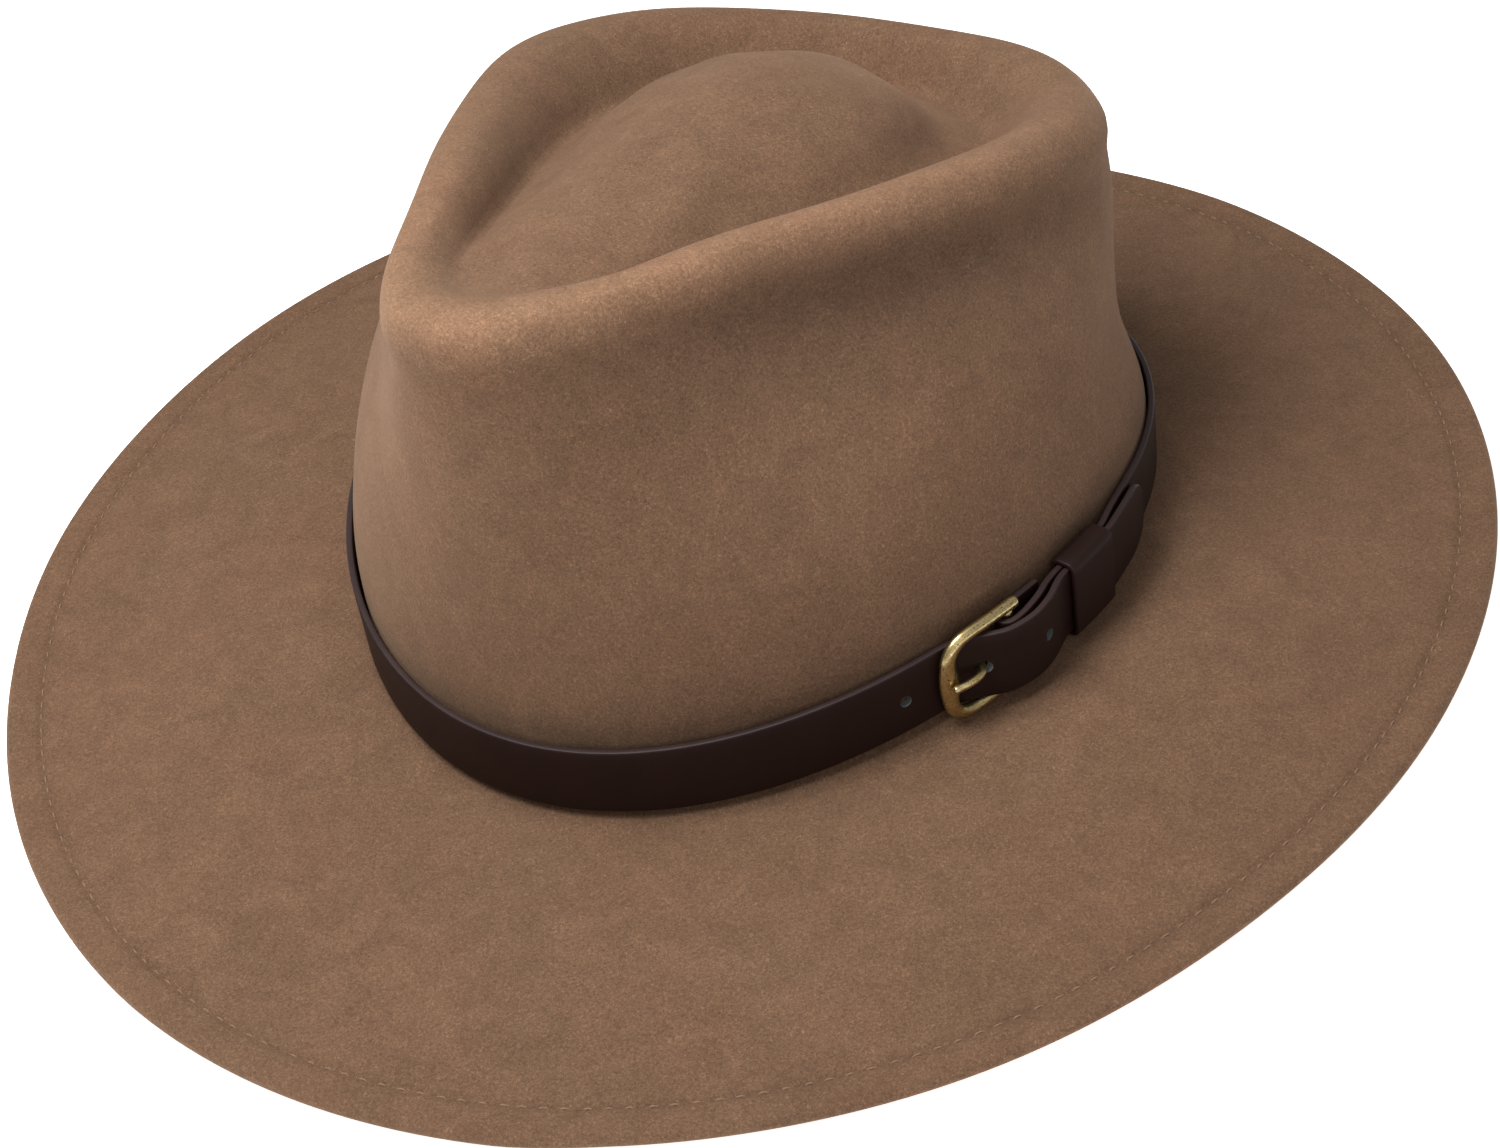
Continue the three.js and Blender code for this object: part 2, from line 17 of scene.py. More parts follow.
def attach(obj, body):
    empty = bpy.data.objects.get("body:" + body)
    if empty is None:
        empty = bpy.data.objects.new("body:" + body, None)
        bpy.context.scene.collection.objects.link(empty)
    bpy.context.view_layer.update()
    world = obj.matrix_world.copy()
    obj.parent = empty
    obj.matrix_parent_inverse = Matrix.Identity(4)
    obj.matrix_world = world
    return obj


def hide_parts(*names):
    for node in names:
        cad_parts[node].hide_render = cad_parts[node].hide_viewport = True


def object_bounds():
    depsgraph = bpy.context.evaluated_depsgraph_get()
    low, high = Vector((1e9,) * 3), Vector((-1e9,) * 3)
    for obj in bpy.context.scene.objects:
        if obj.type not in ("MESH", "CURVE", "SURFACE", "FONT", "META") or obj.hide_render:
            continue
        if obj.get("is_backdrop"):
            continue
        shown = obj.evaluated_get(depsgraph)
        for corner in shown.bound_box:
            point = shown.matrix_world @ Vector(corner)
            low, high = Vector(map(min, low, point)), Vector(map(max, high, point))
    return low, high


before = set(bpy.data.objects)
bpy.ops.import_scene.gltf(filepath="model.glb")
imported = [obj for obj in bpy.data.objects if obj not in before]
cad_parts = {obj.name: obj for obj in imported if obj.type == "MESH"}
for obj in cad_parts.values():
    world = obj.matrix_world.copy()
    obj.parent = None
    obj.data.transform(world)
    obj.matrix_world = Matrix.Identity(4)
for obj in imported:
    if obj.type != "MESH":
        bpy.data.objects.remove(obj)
cad_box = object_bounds()
print("pieces of the frame:", ", ".join(sorted(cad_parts)))

# %% [markdown]
# ## Units and small tools
# The sizes of a hat are easiest to read in millimetres, and Blender works in metres, so the shapes are
# worked out in millimetres and scaled once, when a mesh is made. A piece given a slot rides on the one
# body, and a piece that stands for a plain solid of the frame hides it.

# %% Units and helpers
MM = 0.001
FULL_TURN = 2 * math.pi


def add_piece(name, points, faces, replaced=None, slot=None):
    """A smooth mesh object from points in millimetres, riding on the hat's one body."""
    mesh = bpy.data.meshes.new(name)
    mesh.from_pydata((np.asarray(points) * MM).tolist(), [], faces)
    outward = bmesh.new()
    outward.from_mesh(mesh)
    bmesh.ops.recalc_face_normals(outward, faces=outward.faces)
    outward.to_mesh(mesh)
    outward.free()
    mesh.shade_smooth()
    piece = bpy.data.objects.new(name, mesh)
    bpy.context.scene.collection.objects.link(piece)
    if slot:
        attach(piece, "root")
    if replaced:
        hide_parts(replaced)
    print(name, "has", sum(len(face) - 2 for face in faces), "triangles")
    return piece


def linear(hex_colour):
    """An sRGB hex colour as the linear RGBA that a socket takes."""
    channels = [int(hex_colour[i:i + 2], 16) / 255 for i in (1, 3, 5)]
    return (*[c / 12.92 if c <= 0.04045 else ((c + 0.055) / 1.055) ** 2.4 for c in channels], 1)


# %% [markdown]
# ## The hat's outer surface
# A fur-felt body is one piece: a hood of felt is pulled over a wooden block, so crown and brim flow into
# each other. A table of rings round the hat gives that flow, from the rim over the brim and up the crown,
# over the ridge and down into the valley, then up to the middle of the dome. Each ring has its reach to
# the front, back and sides and its height there. `pinch` narrows a ring to the front, as a teardrop
# does, and `blunt` rounds its front end out again. A smooth curve runs through the table's rows, which
# is how a blocked felt looks: no row shows as an edge.

# %% The table of rings
CROWN_AT = 4.5
FELT = 2.0
RIM = 3.0
FLATTENED = 0.6
SMALL_TURN = 0.01

# Each row: front, back and side reach, pinch, blunt, then the heights at front, side and back.
SECTIONS = {
    "rim_top": (186.5, 177.5, 168.8, 0, 0, 3.0, 9.4, 3.0),
    "seam": (180.0, 171.0, 162.3, 0, 0, 2.25, 9.1, 2.3),
    "brim_middle": (145, 138, 130, 0.02, 0, 2.8, 11.7, 3.2),
    "brim_inner": (114, 111, 103, 0.05, 0, 2.2, 12.1, 3.2),
    "break_foot": (103.8, 100.4, 93, 0.06, 0, 2, 11.9, 3.1),
    "break_up": (101, 97.4, 90.1, 0.06, 0, 3.3, 14.2, 4.6),
    "band_low": (100.8, 97.2, 89.9, 0.06, 0, 6.2, 17.4, 7.5),
    "band_top": (100.3, 97, 89.4, 0.06, 0, 22, 33.5, 23),
    "wall_low": (98.4, 95.6, 84.6, 0.05, 0, 40, 51, 38),
    "wall_middle": (97, 95.6, 80.2, 0.13, 0.04, 64, 70, 52),
    "wall_high": (96.6, 95.5, 74.2, 0.29, 0.14, 88, 84, 67),
    "dent": (97.2, 93.8, 67, 0.5, 0.27, 105, 96, 79),
    "under_ridge": (98.4, 92, 64.6, 0.6, 0.33, 114.4, 104.3, 87),
    "ridge": (96.5, 88.8, 59.2, 0.66, 0.36, 120.6, 110.7, 92.2),
    "ridge_inner": (88, 82.5, 50.6, 0.68, 0.38, 121.4, 110.3, 92),
    "inner_wall": (81.5, 78, 45, 0.64, 0.34, 119, 104, 87),
    "valley": (75.5, 74, 41.5, 0.57, 0.3, 116.4, 97, 82.5),
    "dome_foot": (68, 69.5, 38, 0.5, 0.26, 116, 98, 84.5),
    "dome_shoulder": (40, 53.5, 28, 0.4, 0.12, 116, 105.5, 101),
    "dome_middle": (-7, 7, 0, 0, 0, 115, 115, 115),
}
NAMES = list(SECTIONS)
TABLE = np.array([SECTIONS[name] for name in NAMES], dtype=float)

# Dents pressed into the crown's sides, alike on both sides: degrees round from the front and how far
# they spread, how far below the ridge they lie and reach in millimetres, and how deep the felt goes in.
DENTS = {
    "side_dent": {"at": 60, "spread": 42, "below": 13, "reach": 8, "depth": 3},
    "front_pinch": {"at": 50, "spread": 26, "below": 36, "reach": 18, "depth": 4.6},
}


# %% [markdown]
# ## Distances along the felt
# A place on the hat is told by two numbers: how far it lies from the rim along the felt, and its angle
# round the hat from the front. Each row of the table gets such a distance, and each of its columns a
# slope there, which the smooth curve between the rows needs.

# %% Distances along the felt, and the slope of each column
def distances():
    """Distance along the felt from the rim to each ring, the mean of its front, side and back runs."""
    front, back, side, _, _, z_front, z_side, z_back = np.diff(TABLE, axis=0).T
    chords = (np.hypot(front, z_front) + np.hypot(back, z_back) + np.hypot(side, z_side)) / 3
    return np.concatenate([[0], np.cumsum(chords)])


RUN = distances()
RUN_OF = dict(zip(NAMES, RUN))
rise = np.diff(TABLE, axis=0) / np.diff(RUN)[:, None]
before, after = np.diff(RUN)[:-1, None], np.diff(RUN)[1:, None]
SLOPES = np.vstack([rise[:1], (rise[:-1] * after + rise[1:] * before) / (before + after), rise[-1:]])
SLOPES[-1, 5:] = 0
print("felt from rim to dome's middle: %.0f mm" % RUN[-1])


# %% [markdown]
# ## A point of the surface
# The table's columns at a distance along the felt give one ring, and the angle gives a point on it. A
# bell curve presses the dents in, strongest in their middle. The outward direction comes from two small
# steps, one along the felt and one round it.

# %% A point of the surface, from its distance along the felt and its angle round the hat
def bell(offset, width):
    """1 in the middle, falling smoothly to nothing at about twice the width."""
    return np.exp(-((offset / width) ** 2))


def ring_at(run):
    """The table's columns at distances along the felt, by a smooth cubic between rows."""
    i = np.clip(np.searchsorted(RUN, run, side="right") - 1, 0, len(RUN) - 2)
    length = (RUN[i + 1] - RUN[i])[:, None]
    t = ((run - RUN[i]) / length[:, 0])[:, None]
    values = TABLE[i] * (1 + 2 * t) * (1 - t) ** 2 + TABLE[i + 1] * t * t * (3 - 2 * t)
    return values + SLOPES[i] * length * t * (1 - t) ** 2 + SLOPES[i + 1] * length * t * t * (t - 1)


def ring_height(angle, front, side, back):
    """Height of a ring at an angle, from its heights at the front, the sides and the back."""
    middle = (front + back) / 2
    lean = (front - back) / 2 * np.cos(angle)
    return (middle + side) / 2 + lean + (middle - side) / 2 * np.cos(2 * angle)


def felt_surface(run, angle):
    """Points of the outer surface, one row for each distance and one column for each angle."""
    columns = ring_at(np.clip(run, 0, RUN[-1])).T[:, :, None]
    front, back, side, pinch, blunt, z_front, z_side, z_back = columns
    angle = angle[None, :]
    cos = np.cos(angle)
    x = side * np.sin(angle) * (1 - pinch * cos + blunt * np.maximum(cos, 0) ** 3)
    y = CROWN_AT + (back - front) / 2 - (front + back) / 2 * cos
    z = ring_height(angle, z_front, z_side, z_back)
    turn = np.degrees(np.abs((angle + math.pi) % FULL_TURN - math.pi))
    ridge = TABLE[NAMES.index("ridge")]
    below = ring_height(angle, *ridge[5:]) - z
    depth = sum(d["depth"] * bell(turn - d["at"], d["spread"]) * bell(below - d["below"], d["reach"])
                for d in DENTS.values())
    on_wall = (run >= RUN_OF["band_top"]) & (run < RUN_OF["ridge"])
    pressed = 1 - np.where(on_wall[:, None], depth, 0) / np.maximum(np.hypot(x, y), 1)
    return np.stack([x * pressed, y * pressed, z + 0 * x], axis=-1)


def felt_normal(run, angle, step=0.4):
    """Outward normals of the outer surface, by small steps along and round it."""
    along = felt_surface(run + step, angle) - felt_surface(run - step, angle)
    around = felt_surface(run, angle + SMALL_TURN) - felt_surface(run, angle - SMALL_TURN)
    normal = np.cross(around, along)
    return normal / np.maximum(np.linalg.norm(normal, axis=-1, keepdims=True), 1e-9)


# %% [markdown]
# ## Hand-made unevenness and the stitch groove
# Felt shaped by steam and hand is never quite true. A few slow waves along the normal, each 0.3 mm high
# or less, let the light wander over the brim and crown. They fade out under the strap, which lies
# close, and toward the middle of the dome, where the rings meet. The rim is folded under and stitched
# down 8 mm in, and the thread draws the felt in: a narrow groove on both faces.

# %% Unevenness and groove
GROOVE_DEPTH = 0.4
GROOVE_WIDTH = 0.9
WAVE_HEIGHT = 0.28
STRAP_CALM = 16
DOME_CALM = 40

# Each wave: how many go round the hat, how fast it turns with the distance, where it starts, its share.
WAVES = ((3, 31, 0.6, 1), (5, -23, 2.1, 1), (8, 14, 4.0, 0.7), (11, -11, 1.3, 0.5))


def slow_waves(run, angle):
    """A gentle offset in millimetres that differs all over the hat."""
    run, angle = run[:, None], angle[None, :]
    waves = sum(share * np.sin(count * angle + run / pace + start) for count, pace, start, share in WAVES)
    strap_at = (RUN_OF["break_up"] + RUN_OF["band_top"]) / 2
    clear_of_strap = 1 - bell(run - strap_at, STRAP_CALM)
    fade_at_dome = np.clip((RUN[-1] - run) / DOME_CALM, 0, 1)
    return WAVE_HEIGHT * waves * clear_of_strap * fade_at_dome


def groove(run):
    """Depth of the stitch groove at distances along the felt."""
    return GROOVE_DEPTH * bell(run - RUN_OF["seam"], GROOVE_WIDTH)[:, None]


def flattened(points):
    """Points of an underside, laid flat where they are as low as the resting plane."""
    low = points[..., 2] < 2 * FLATTENED
    points[..., 2] = np.where(low, np.maximum(0, 2 * (points[..., 2] - FLATTENED)), points[..., 2])
    return points


# %% [markdown]
# ## The felt body
# The mesh is a skin of rings: from the dome's middle down to the rim on the inside, round the rolled
# edge, and back over the brim and crown on the outside. Rows stand closer at the groove, the ridge and
# the break between brim and crown. A ring mesh is chosen over a subdivided one because every ring is
# where the table says, and the hat stays hollow.

# %% Build the felt body
AROUND = 288
ROW_SPACING = 2.3
INSIDE_SPACING = 3.6
ROLL_STEPS = 9
CLOSE_ROWS = 11
CLOSE_ROWS_REACH = {"seam": 2.0, "ridge": 7.0, "break_up": 4.0}
LEAST_SPACING = 0.3


def rows_of(spacing):
    """Distances of the mesh's rows, closer together at the groove and round the ridge and break."""
    rows = set(np.linspace(0, RUN[-1], int(RUN[-1] / spacing))[:-1])
    for name, reach in CLOSE_ROWS_REACH.items():
        rows |= set(RUN_OF[name] + np.linspace(-reach, reach, CLOSE_ROWS))
    ordered = sorted(rows)
    kept = [ordered[0]]
    for run in ordered[1:]:
        if run - kept[-1] > LEAST_SPACING:
            kept.append(run)
    return np.array(kept)


def skin(rings):
    """Points and faces of rings joined one to the next, with a pole at each end."""
    count = rings.shape[1]
    points = np.vstack([rings[0].mean(axis=0)[None], rings.reshape(-1, 3), rings[-1].mean(axis=0)[None]])
    faces = []
    for k in range(count):
        following = (k + 1) % count
        faces.append((0, 1 + following, 1 + k))
        for r in range(len(rings) - 1):
            low, high = 1 + r * count, 1 + (r + 1) * count
            faces.append((low + k, low + following, high + following, high + k))
        last = 1 + (len(rings) - 1) * count
        faces.append((last + k, last + following, len(points) - 1))
    return points, faces


ANGLES = np.linspace(0, FULL_TURN, AROUND, endpoint=False)
OUTER_ROWS = rows_of(ROW_SPACING)


def felt_rings():
    """All rings of the skin, from the dome's middle inside round the rim to its middle outside."""
    inside = rows_of(INSIDE_SPACING)
    offset = slow_waves(OUTER_ROWS, ANGLES) - groove(OUTER_ROWS)
    outer = felt_surface(OUTER_ROWS, ANGLES) + felt_normal(OUTER_ROWS, ANGLES) * offset[..., None]
    wall = FELT + (RIM - FELT) * np.clip(1 - inside / RUN_OF["seam"], 0, 1)[:, None]
    offset = slow_waves(inside, ANGLES) - wall
    inner = flattened(felt_surface(inside, ANGLES) + felt_normal(inside, ANGLES) * offset[..., None])
    inner[..., 2] += groove(inside)
    top, bottom = outer[0], inner[0]
    outward = np.stack([top[:, 0], top[:, 1], 0 * top[:, 0]], axis=-1)
    outward /= np.linalg.norm(outward, axis=-1, keepdims=True)
    half = (top - bottom) / 2
    size = np.linalg.norm(half, axis=-1, keepdims=True)
    roll = []
    for step in range(1, ROLL_STEPS):
        turn = math.pi * step / ROLL_STEPS
        roll.append((top + bottom) / 2 - half * math.cos(turn) + outward * size * math.sin(turn))
    return np.concatenate([inner[::-1], np.array(roll), outer])


points, faces = skin(felt_rings())
felt_body = add_piece("felt_crown_and_brim", points, faces, replaced="felt_body", slot="felt")

# %% [markdown]
# ## The stitches at the rim
# The rim's fold is held by one row of thread in the colour of the felt. Each stitch shows as a short
# dash that dips into the felt at its ends. They are made as one joined mesh of small tapered rods, since
# bump alone would not catch the light at the edge of the brim. The row shows on the underside too.

# %% Build the stitches
STITCH_PITCH = 4.2
STITCH_LENGTH = 2.3
THREAD = 0.24
THREAD_SIDES = 6
STITCH_PROUD = -0.03
STITCH_DIP = 0.34
STITCH_STEPS = 5
STITCH_BLUNT = 0.15
PITCH_SLIP = 0.08
LENGTH_RANGE = (0.85, 1.1)
SEAM_STEPS = 2000
TINY_TURN = 0.002
random.seed(7)


def stitch_row(below):
    """Points and faces of one row of stitches on the top face, or on the face below."""
    run = np.array([RUN_OF["seam"]])
    fine = np.linspace(0, FULL_TURN, SEAM_STEPS, endpoint=False)
    line = felt_surface(run, fine)[0]
    chords = np.linalg.norm(np.diff(line, axis=0, append=line[:1]), axis=1)
    lengths = np.concatenate([[0], np.cumsum(chords)])
    count = int(lengths[-1] / STITCH_PITCH)
    points, faces = [], []
    for s in range(count):
        middle = (s + random.uniform(-PITCH_SLIP, PITCH_SLIP)) * STITCH_PITCH
        length = STITCH_LENGTH * random.uniform(*LENGTH_RANGE)
        base = len(points)
        for step in range(STITCH_STEPS):
            part = step / (STITCH_STEPS - 1) * 2 - 1
            along = (middle + part * length / 2) % lengths[-1]
            angle = np.array([np.interp(along, lengths, np.append(fine, FULL_TURN))])
            normal = felt_normal(run, angle)[0, 0]
            face = slow_waves(run, angle)[0, 0] - (FELT if below else 0)
            centre = felt_surface(run, angle)[0, 0] + normal * face
            if below:
                centre = flattened(centre)
                normal = np.array([0, 0, -1.0])
            centre = centre + normal * (STITCH_PROUD - THREAD - STITCH_DIP * part * part)
            ahead = felt_surface(run, angle + TINY_TURN)[0, 0] - felt_surface(run, angle)[0, 0]
            across = np.cross(ahead / np.linalg.norm(ahead), normal)
            thick = THREAD * math.sqrt(max(STITCH_BLUNT, 1 - part ** 4))
            for side in range(THREAD_SIDES):
                turn = FULL_TURN * side / THREAD_SIDES
                points.append(centre + thick * (math.cos(turn) * across + math.sin(turn) * normal))
        for step in range(STITCH_STEPS - 1):
            for side in range(THREAD_SIDES):
                low, high = base + step * THREAD_SIDES, base + (step + 1) * THREAD_SIDES
                following = (side + 1) % THREAD_SIDES
                faces.append((low + side, low + following, high + following, high + side))
        faces.append(tuple(base + side for side in reversed(range(THREAD_SIDES))))
        last = base + (STITCH_STEPS - 1) * THREAD_SIDES
        faces.append(tuple(last + side for side in range(THREAD_SIDES)))
    return points, faces


for name, below in (("rim_stitches_top", False), ("rim_stitches_under", True)):
    points, faces = stitch_row(below)
    add_piece(name, points, faces, slot="felt")

# %% [markdown]
# ## Places on the band
# The strap, keeper and buckle lie on the crown's foot, so their places are given along it: degrees
# round from the front, distance out from the felt, and height above the strap's middle. Lengths along
# the strap near the buckle are counted from the hinge bar.

# %% Places on the band
STRAP_WIDTH = 16.8
STRAP = 1.6
STRAP_BASE = (4.2, 15.8, 5.4)
GAP = 0.3
LAID = GAP + STRAP / 2
NEXT = STRAP + GAP
HINGE_AT = 70.3
HINGE_BAR = 1.3
FOLD = HINGE_BAR + GAP + STRAP / 2
HINGE_OUT = LAID + FOLD
UNDER_KEEPER = 2.75
MEASURED_DEGREES = 8


def band_point(degrees, out, up=0.0):
    """A point in millimetres at a place on the band."""
    run = np.array([RUN_OF["band_low"]])
    angle = np.array([math.radians(degrees)])
    here = felt_surface(run, angle)[0, 0]
    ahead = felt_surface(run, angle + SMALL_TURN)[0, 0]
    outward = np.array([ahead[1] - here[1], here[0] - ahead[0], 0])
    outward /= np.linalg.norm(outward)
    point = here + outward * out
    point[2] = ring_height(angle[0], *STRAP_BASE) + STRAP_WIDTH / 2 + up
    return point


measured = band_point(HINGE_AT, 0) - band_point(HINGE_AT - MEASURED_DEGREES, 0)
MM_PER_DEGREE = np.linalg.norm(measured) / MEASURED_DEGREES


def from_hinge(length):
    """Degrees round of a place at a length along the strap from the hinge bar, toward the outer bar."""
    return HINGE_AT - length / MM_PER_DEGREE


print("one degree of the band is %.2f mm" % MM_PER_DEGREE)

# %% [markdown]
# ## The strap's route
# The strap is one long piece of leather. Seen from above it starts as the short flap behind the hinge
# bar, folds round the bar, runs back over the flap and under the keeper, and goes once round the crown.
# Its free end passes under the outer bar, rises through the frame over the fold and tucks through the
# keeper, ending in a rounded tip. Each row below is a place that the middle of the leather passes: its
# degrees round from the front, its distance out from the felt, and its part of the full width.

# %% The strap's route
BUCKLE_REACH = 16
PRONG_HOLE_ALONG = 8
HOLE_PITCH = 17.5
LAST_HOLE_ALONG = -6.9
KEEPER_FROM, KEEPER_TO = 80, 88
ROUND_STATIONS = 60

FOLD_TURNS = (-90, -60, -30, 0, 30, 60, 90)
FLAP_AND_INNER_END = [
    (from_hinge(-11), LAID, 1),
    (from_hinge(-6), LAID, 1),
    (from_hinge(-2), LAID, 1),
    *[(from_hinge(FOLD * math.cos(math.radians(turn))), HINGE_OUT + FOLD * math.sin(math.radians(turn)), 1)
      for turn in FOLD_TURNS],
    (from_hinge(-3), HINGE_OUT + FOLD - 0.2, 1),
    (from_hinge(-8), 4.6, 1),
    (from_hinge(-12), 3.3, 1),
    (KEEPER_FROM - 0.8, UNDER_KEEPER, 1),
    (KEEPER_TO - 4, UNDER_KEEPER, 1),
    (KEEPER_TO + 0.8, UNDER_KEEPER, 1),
    (93, 1.6, 1),
    (98, LAID, 1),
    (104, LAID, 1),
]
FREE_END = [
    (54, LAID, 1),
    (from_hinge(BUCKLE_REACH + 3), LAID, 1),
    (from_hinge(BUCKLE_REACH), LAID, 1),
    (from_hinge(13), 1.6, 1),
    (from_hinge(10.5), 2.6, 1),
    (from_hinge(PRONG_HOLE_ALONG), 4.0, 1),
    (from_hinge(5.5), 5.7, 1),
    (from_hinge(3), 7.1, 1),
    (from_hinge(0), HINGE_OUT + FOLD + NEXT, 1),
    (from_hinge(-4), 8.0, 1),
    (from_hinge(-9), 6.9, 1),
    (from_hinge(-13), 5.3, 1),
    (KEEPER_FROM - 0.8, UNDER_KEEPER + NEXT, 1),
    (KEEPER_TO - 4, UNDER_KEEPER + NEXT, 1),
    (KEEPER_TO + 0.8, UNDER_KEEPER + NEXT, 1),
    (92, 4.2, 1),
    (95.5, 3.8, 1),
    (98, 3.4, 0.93),
    (99.6, 3.2, 0.72),
    (100.3, 3.15, 0.4),
]


def strap_stations():
    """Places along the whole strap: the inner end, once round the crown, then the free end."""
    start, end = FLAP_AND_INNER_END[-1][0], 360 + FREE_END[0][0]
    plain = [(start + (end - start) * i / ROUND_STATIONS, LAID, 1) for i in range(1, ROUND_STATIONS)]
    return [*FLAP_AND_INNER_END, *plain, *[(at + 360, out, width) for at, out, width in FREE_END]]


# %% [markdown]
# ## Sweeping a section along a route
# Strap, buckle and prong are all a section carried along a route. The route's rows are joined by a
# smooth curve and cut into even steps first, so that a few rows give a fine mesh.

# %% Sweep helpers
SHARP_ABOVE = math.radians(38)


def smooth_route(values, spacing, closed=False):
    """Rows resampled along a smooth curve through them; the first three columns are a point."""
    values = np.asarray(values, dtype=float)
    if closed:
        values = np.vstack([values[-1:], values, values[:2]])
    else:
        values = np.vstack([2 * values[:1] - values[1:2], values, 2 * values[-1:] - values[-2:-1]])
    rows = []
    for i in range(1, len(values) - 2):
        a, b, c, d = values[i - 1:i + 3]
        first, second, third = [max(np.linalg.norm(q[:3] - p[:3]), 1e-6) ** 0.5
                                for p, q in ((a, b), (b, c), (c, d))]
        slope_b = (b - a) / first - (c - a) / (first + second) + (c - b) / second
        slope_c = (c - b) / second - (d - b) / (second + third) + (d - c) / third
        slope_b, slope_c = slope_b * second, slope_c * second
        steps = max(1, math.ceil(np.linalg.norm(c[:3] - b[:3]) / spacing))
        for t in np.arange(steps) / steps:
            rows.append(b * (1 + 2 * t) * (1 - t) ** 2 + c * t * t * (3 - 2 * t)
                        + slope_b * t * (1 - t) ** 2 + slope_c * t * t * (t - 1))
    if not closed:
        rows.append(values[-2])
    return np.array(rows)


def rounded_section(half_width, half_thick, radius, corner_steps=4, face_steps=6):
    """Corners and faces of a flat strip's section, as (across, out) pairs."""
    pairs = []
    for across, out, start in ((1, 1, 0), (-1, 1, 90), (-1, -1, 180), (1, -1, 270)):
        for step in range(corner_steps + 1):
            turn = math.radians(start + 90 * step / corner_steps)
            pairs.append((across * (half_width - radius) + radius * math.cos(turn),
                          out * (half_thick - radius) + radius * math.sin(turn)))
        if start in (0, 180):
            wide = across * (half_width - radius)
            for step in range(1, face_steps):
                pairs.append((wide * (1 - 2 * step / face_steps), out * half_thick))
    return np.array(pairs)


def ring_faces(ring_count, side_count, closed):
    """Faces between neighbouring rings, with a cap at each end of an open sweep."""
    faces = []
    for r in range(ring_count if closed else ring_count - 1):
        low, high = r * side_count, (r + 1) % ring_count * side_count
        for k in range(side_count):
            following = (k + 1) % side_count
            faces.append((low + k, low + following, high + following, high + k))
    if not closed:
        faces.append(tuple(reversed(range(side_count))))
        faces.append(tuple((ring_count - 1) * side_count + k for k in range(side_count)))
    return faces


def carve(piece, cutters):
    """Cuts holes with throw-away solids and keeps the result as the piece's own mesh."""
    for cutter in cutters:
        cut = piece.modifiers.new("cut", "BOOLEAN")
        cut.operation = "DIFFERENCE"
        cut.solver = "EXACT"
        cut.object = cutter
        graph = bpy.context.evaluated_depsgraph_get()
        carved = bpy.data.meshes.new_from_object(piece.evaluated_get(graph))
        piece.modifiers.clear()
        piece.data = carved
        bpy.data.objects.remove(cutter)
    piece.data.shade_smooth()
    piece.data.set_sharp_from_angle(angle=SHARP_ABOVE)
    print(piece.name, "after cutting:", len(piece.data.polygons), "faces")


# %% [markdown]
# ## The leather strap
# Strap leather is cut as a flat strip and its edges are rubbed round, which gives the thin light line
# along its upper edge. So the section is a flat strip with small round corners. The punched holes and
# the slot for the prong are cut right through.

# %% Build the strap
STRAP_EDGE = 0.5
STRAP_STEP = 1.3
PRONG = 0.9
PRONG_HOLE = 1.65
SPARE_HOLE = 1.4
PUNCH_SIDES = 32
SLOT_HEIGHT = 2 * PRONG + 4 * GAP


def strap_mesh():
    """Points and faces of the strap's section carried along its route."""
    rows = [(*band_point(at, out), width) for at, out, width in strap_stations()]
    rows = smooth_route(rows, STRAP_STEP)
    section = rounded_section(STRAP_WIDTH / 2, STRAP / 2, STRAP_EDGE)
    points = []
    for i, row in enumerate(rows):
        ahead = rows[min(i + 1, len(rows) - 1)][:3] - rows[max(i - 1, 0)][:3]
        side = np.array([ahead[1], -ahead[0], 0])
        side /= np.linalg.norm(side)
        for across, out in section:
            points.append(row[:3] + side * out + np.array([0, 0, across * row[3]]))
    return points, ring_faces(len(rows), len(section), False)


def punch(at, out, radius, length):
    """A round cutter that points out from the band."""
    centre = band_point(at, out)
    outward = band_point(at, out + 1) - centre
    across = np.cross(outward, (0, 0, 1))
    points = [centre + outward * end * length / 2
              + radius * (math.cos(turn) * across + math.sin(turn) * np.array([0, 0, 1]))
              for end in (-1, 1) for turn in np.linspace(0, FULL_TURN, PUNCH_SIDES, endpoint=False)]
    return add_piece("punch", points, ring_faces(2, PUNCH_SIDES, False))


def slot_cutter(along, out):
    """A block that follows the band and cuts a part of the slot for the prong."""
    half = SLOT_HEIGHT / 2
    corners = ((out[0], -half), (out[0], half), (out[1], half), (out[1], -half))
    points = [band_point(from_hinge(length), distance, up) for length in along for distance, up in corners]
    return add_piece("slot", points, ring_faces(2, len(corners), False))


# Each part of the slot: from and to along the strap, then from and to out from the felt.
SLOTS = (
    ((-5, 1.5), (-1, HINGE_OUT + FOLD + STRAP / 2 + 0.1)),
    ((1, 2.8), (0, 6.2)),
    ((2.5, FOLD + STRAP), (0, 5.3)),
)

# Each hole: place along the strap, distance out, radius and depth.
HOLES = (
    (PRONG_HOLE_ALONG + HOLE_PITCH, LAID, SPARE_HOLE, 4 * STRAP),
    (PRONG_HOLE_ALONG, 4.0, PRONG_HOLE, 4),
    (LAST_HOLE_ALONG, 6.9, SPARE_HOLE, 3.2),
)

points, faces = strap_mesh()
strap = add_piece("strap_leather", points, faces, replaced="leather_strap", slot="leather")
carve(strap, [
    *[slot_cutter(along, out) for along, out in SLOTS],
    *[punch(from_hinge(along), out, radius, depth) for along, out, radius, depth in HOLES],
])

# %% [markdown]
# ## The keeper
# The keeper is a short loop of the same leather, sewn behind and slid over both layers. It is a flat
# section with rubbed edges, swept round the outline of the two layers, which it hugs with soft corners.

# %% Build the keeper
KEEPER = 1.2
KEEPER_CORNER = 1.6
KEEPER_EDGE = 0.42
KEEPER_CLEAR = 0.4
KEEPER_TURNS = range(0, 91, 15)


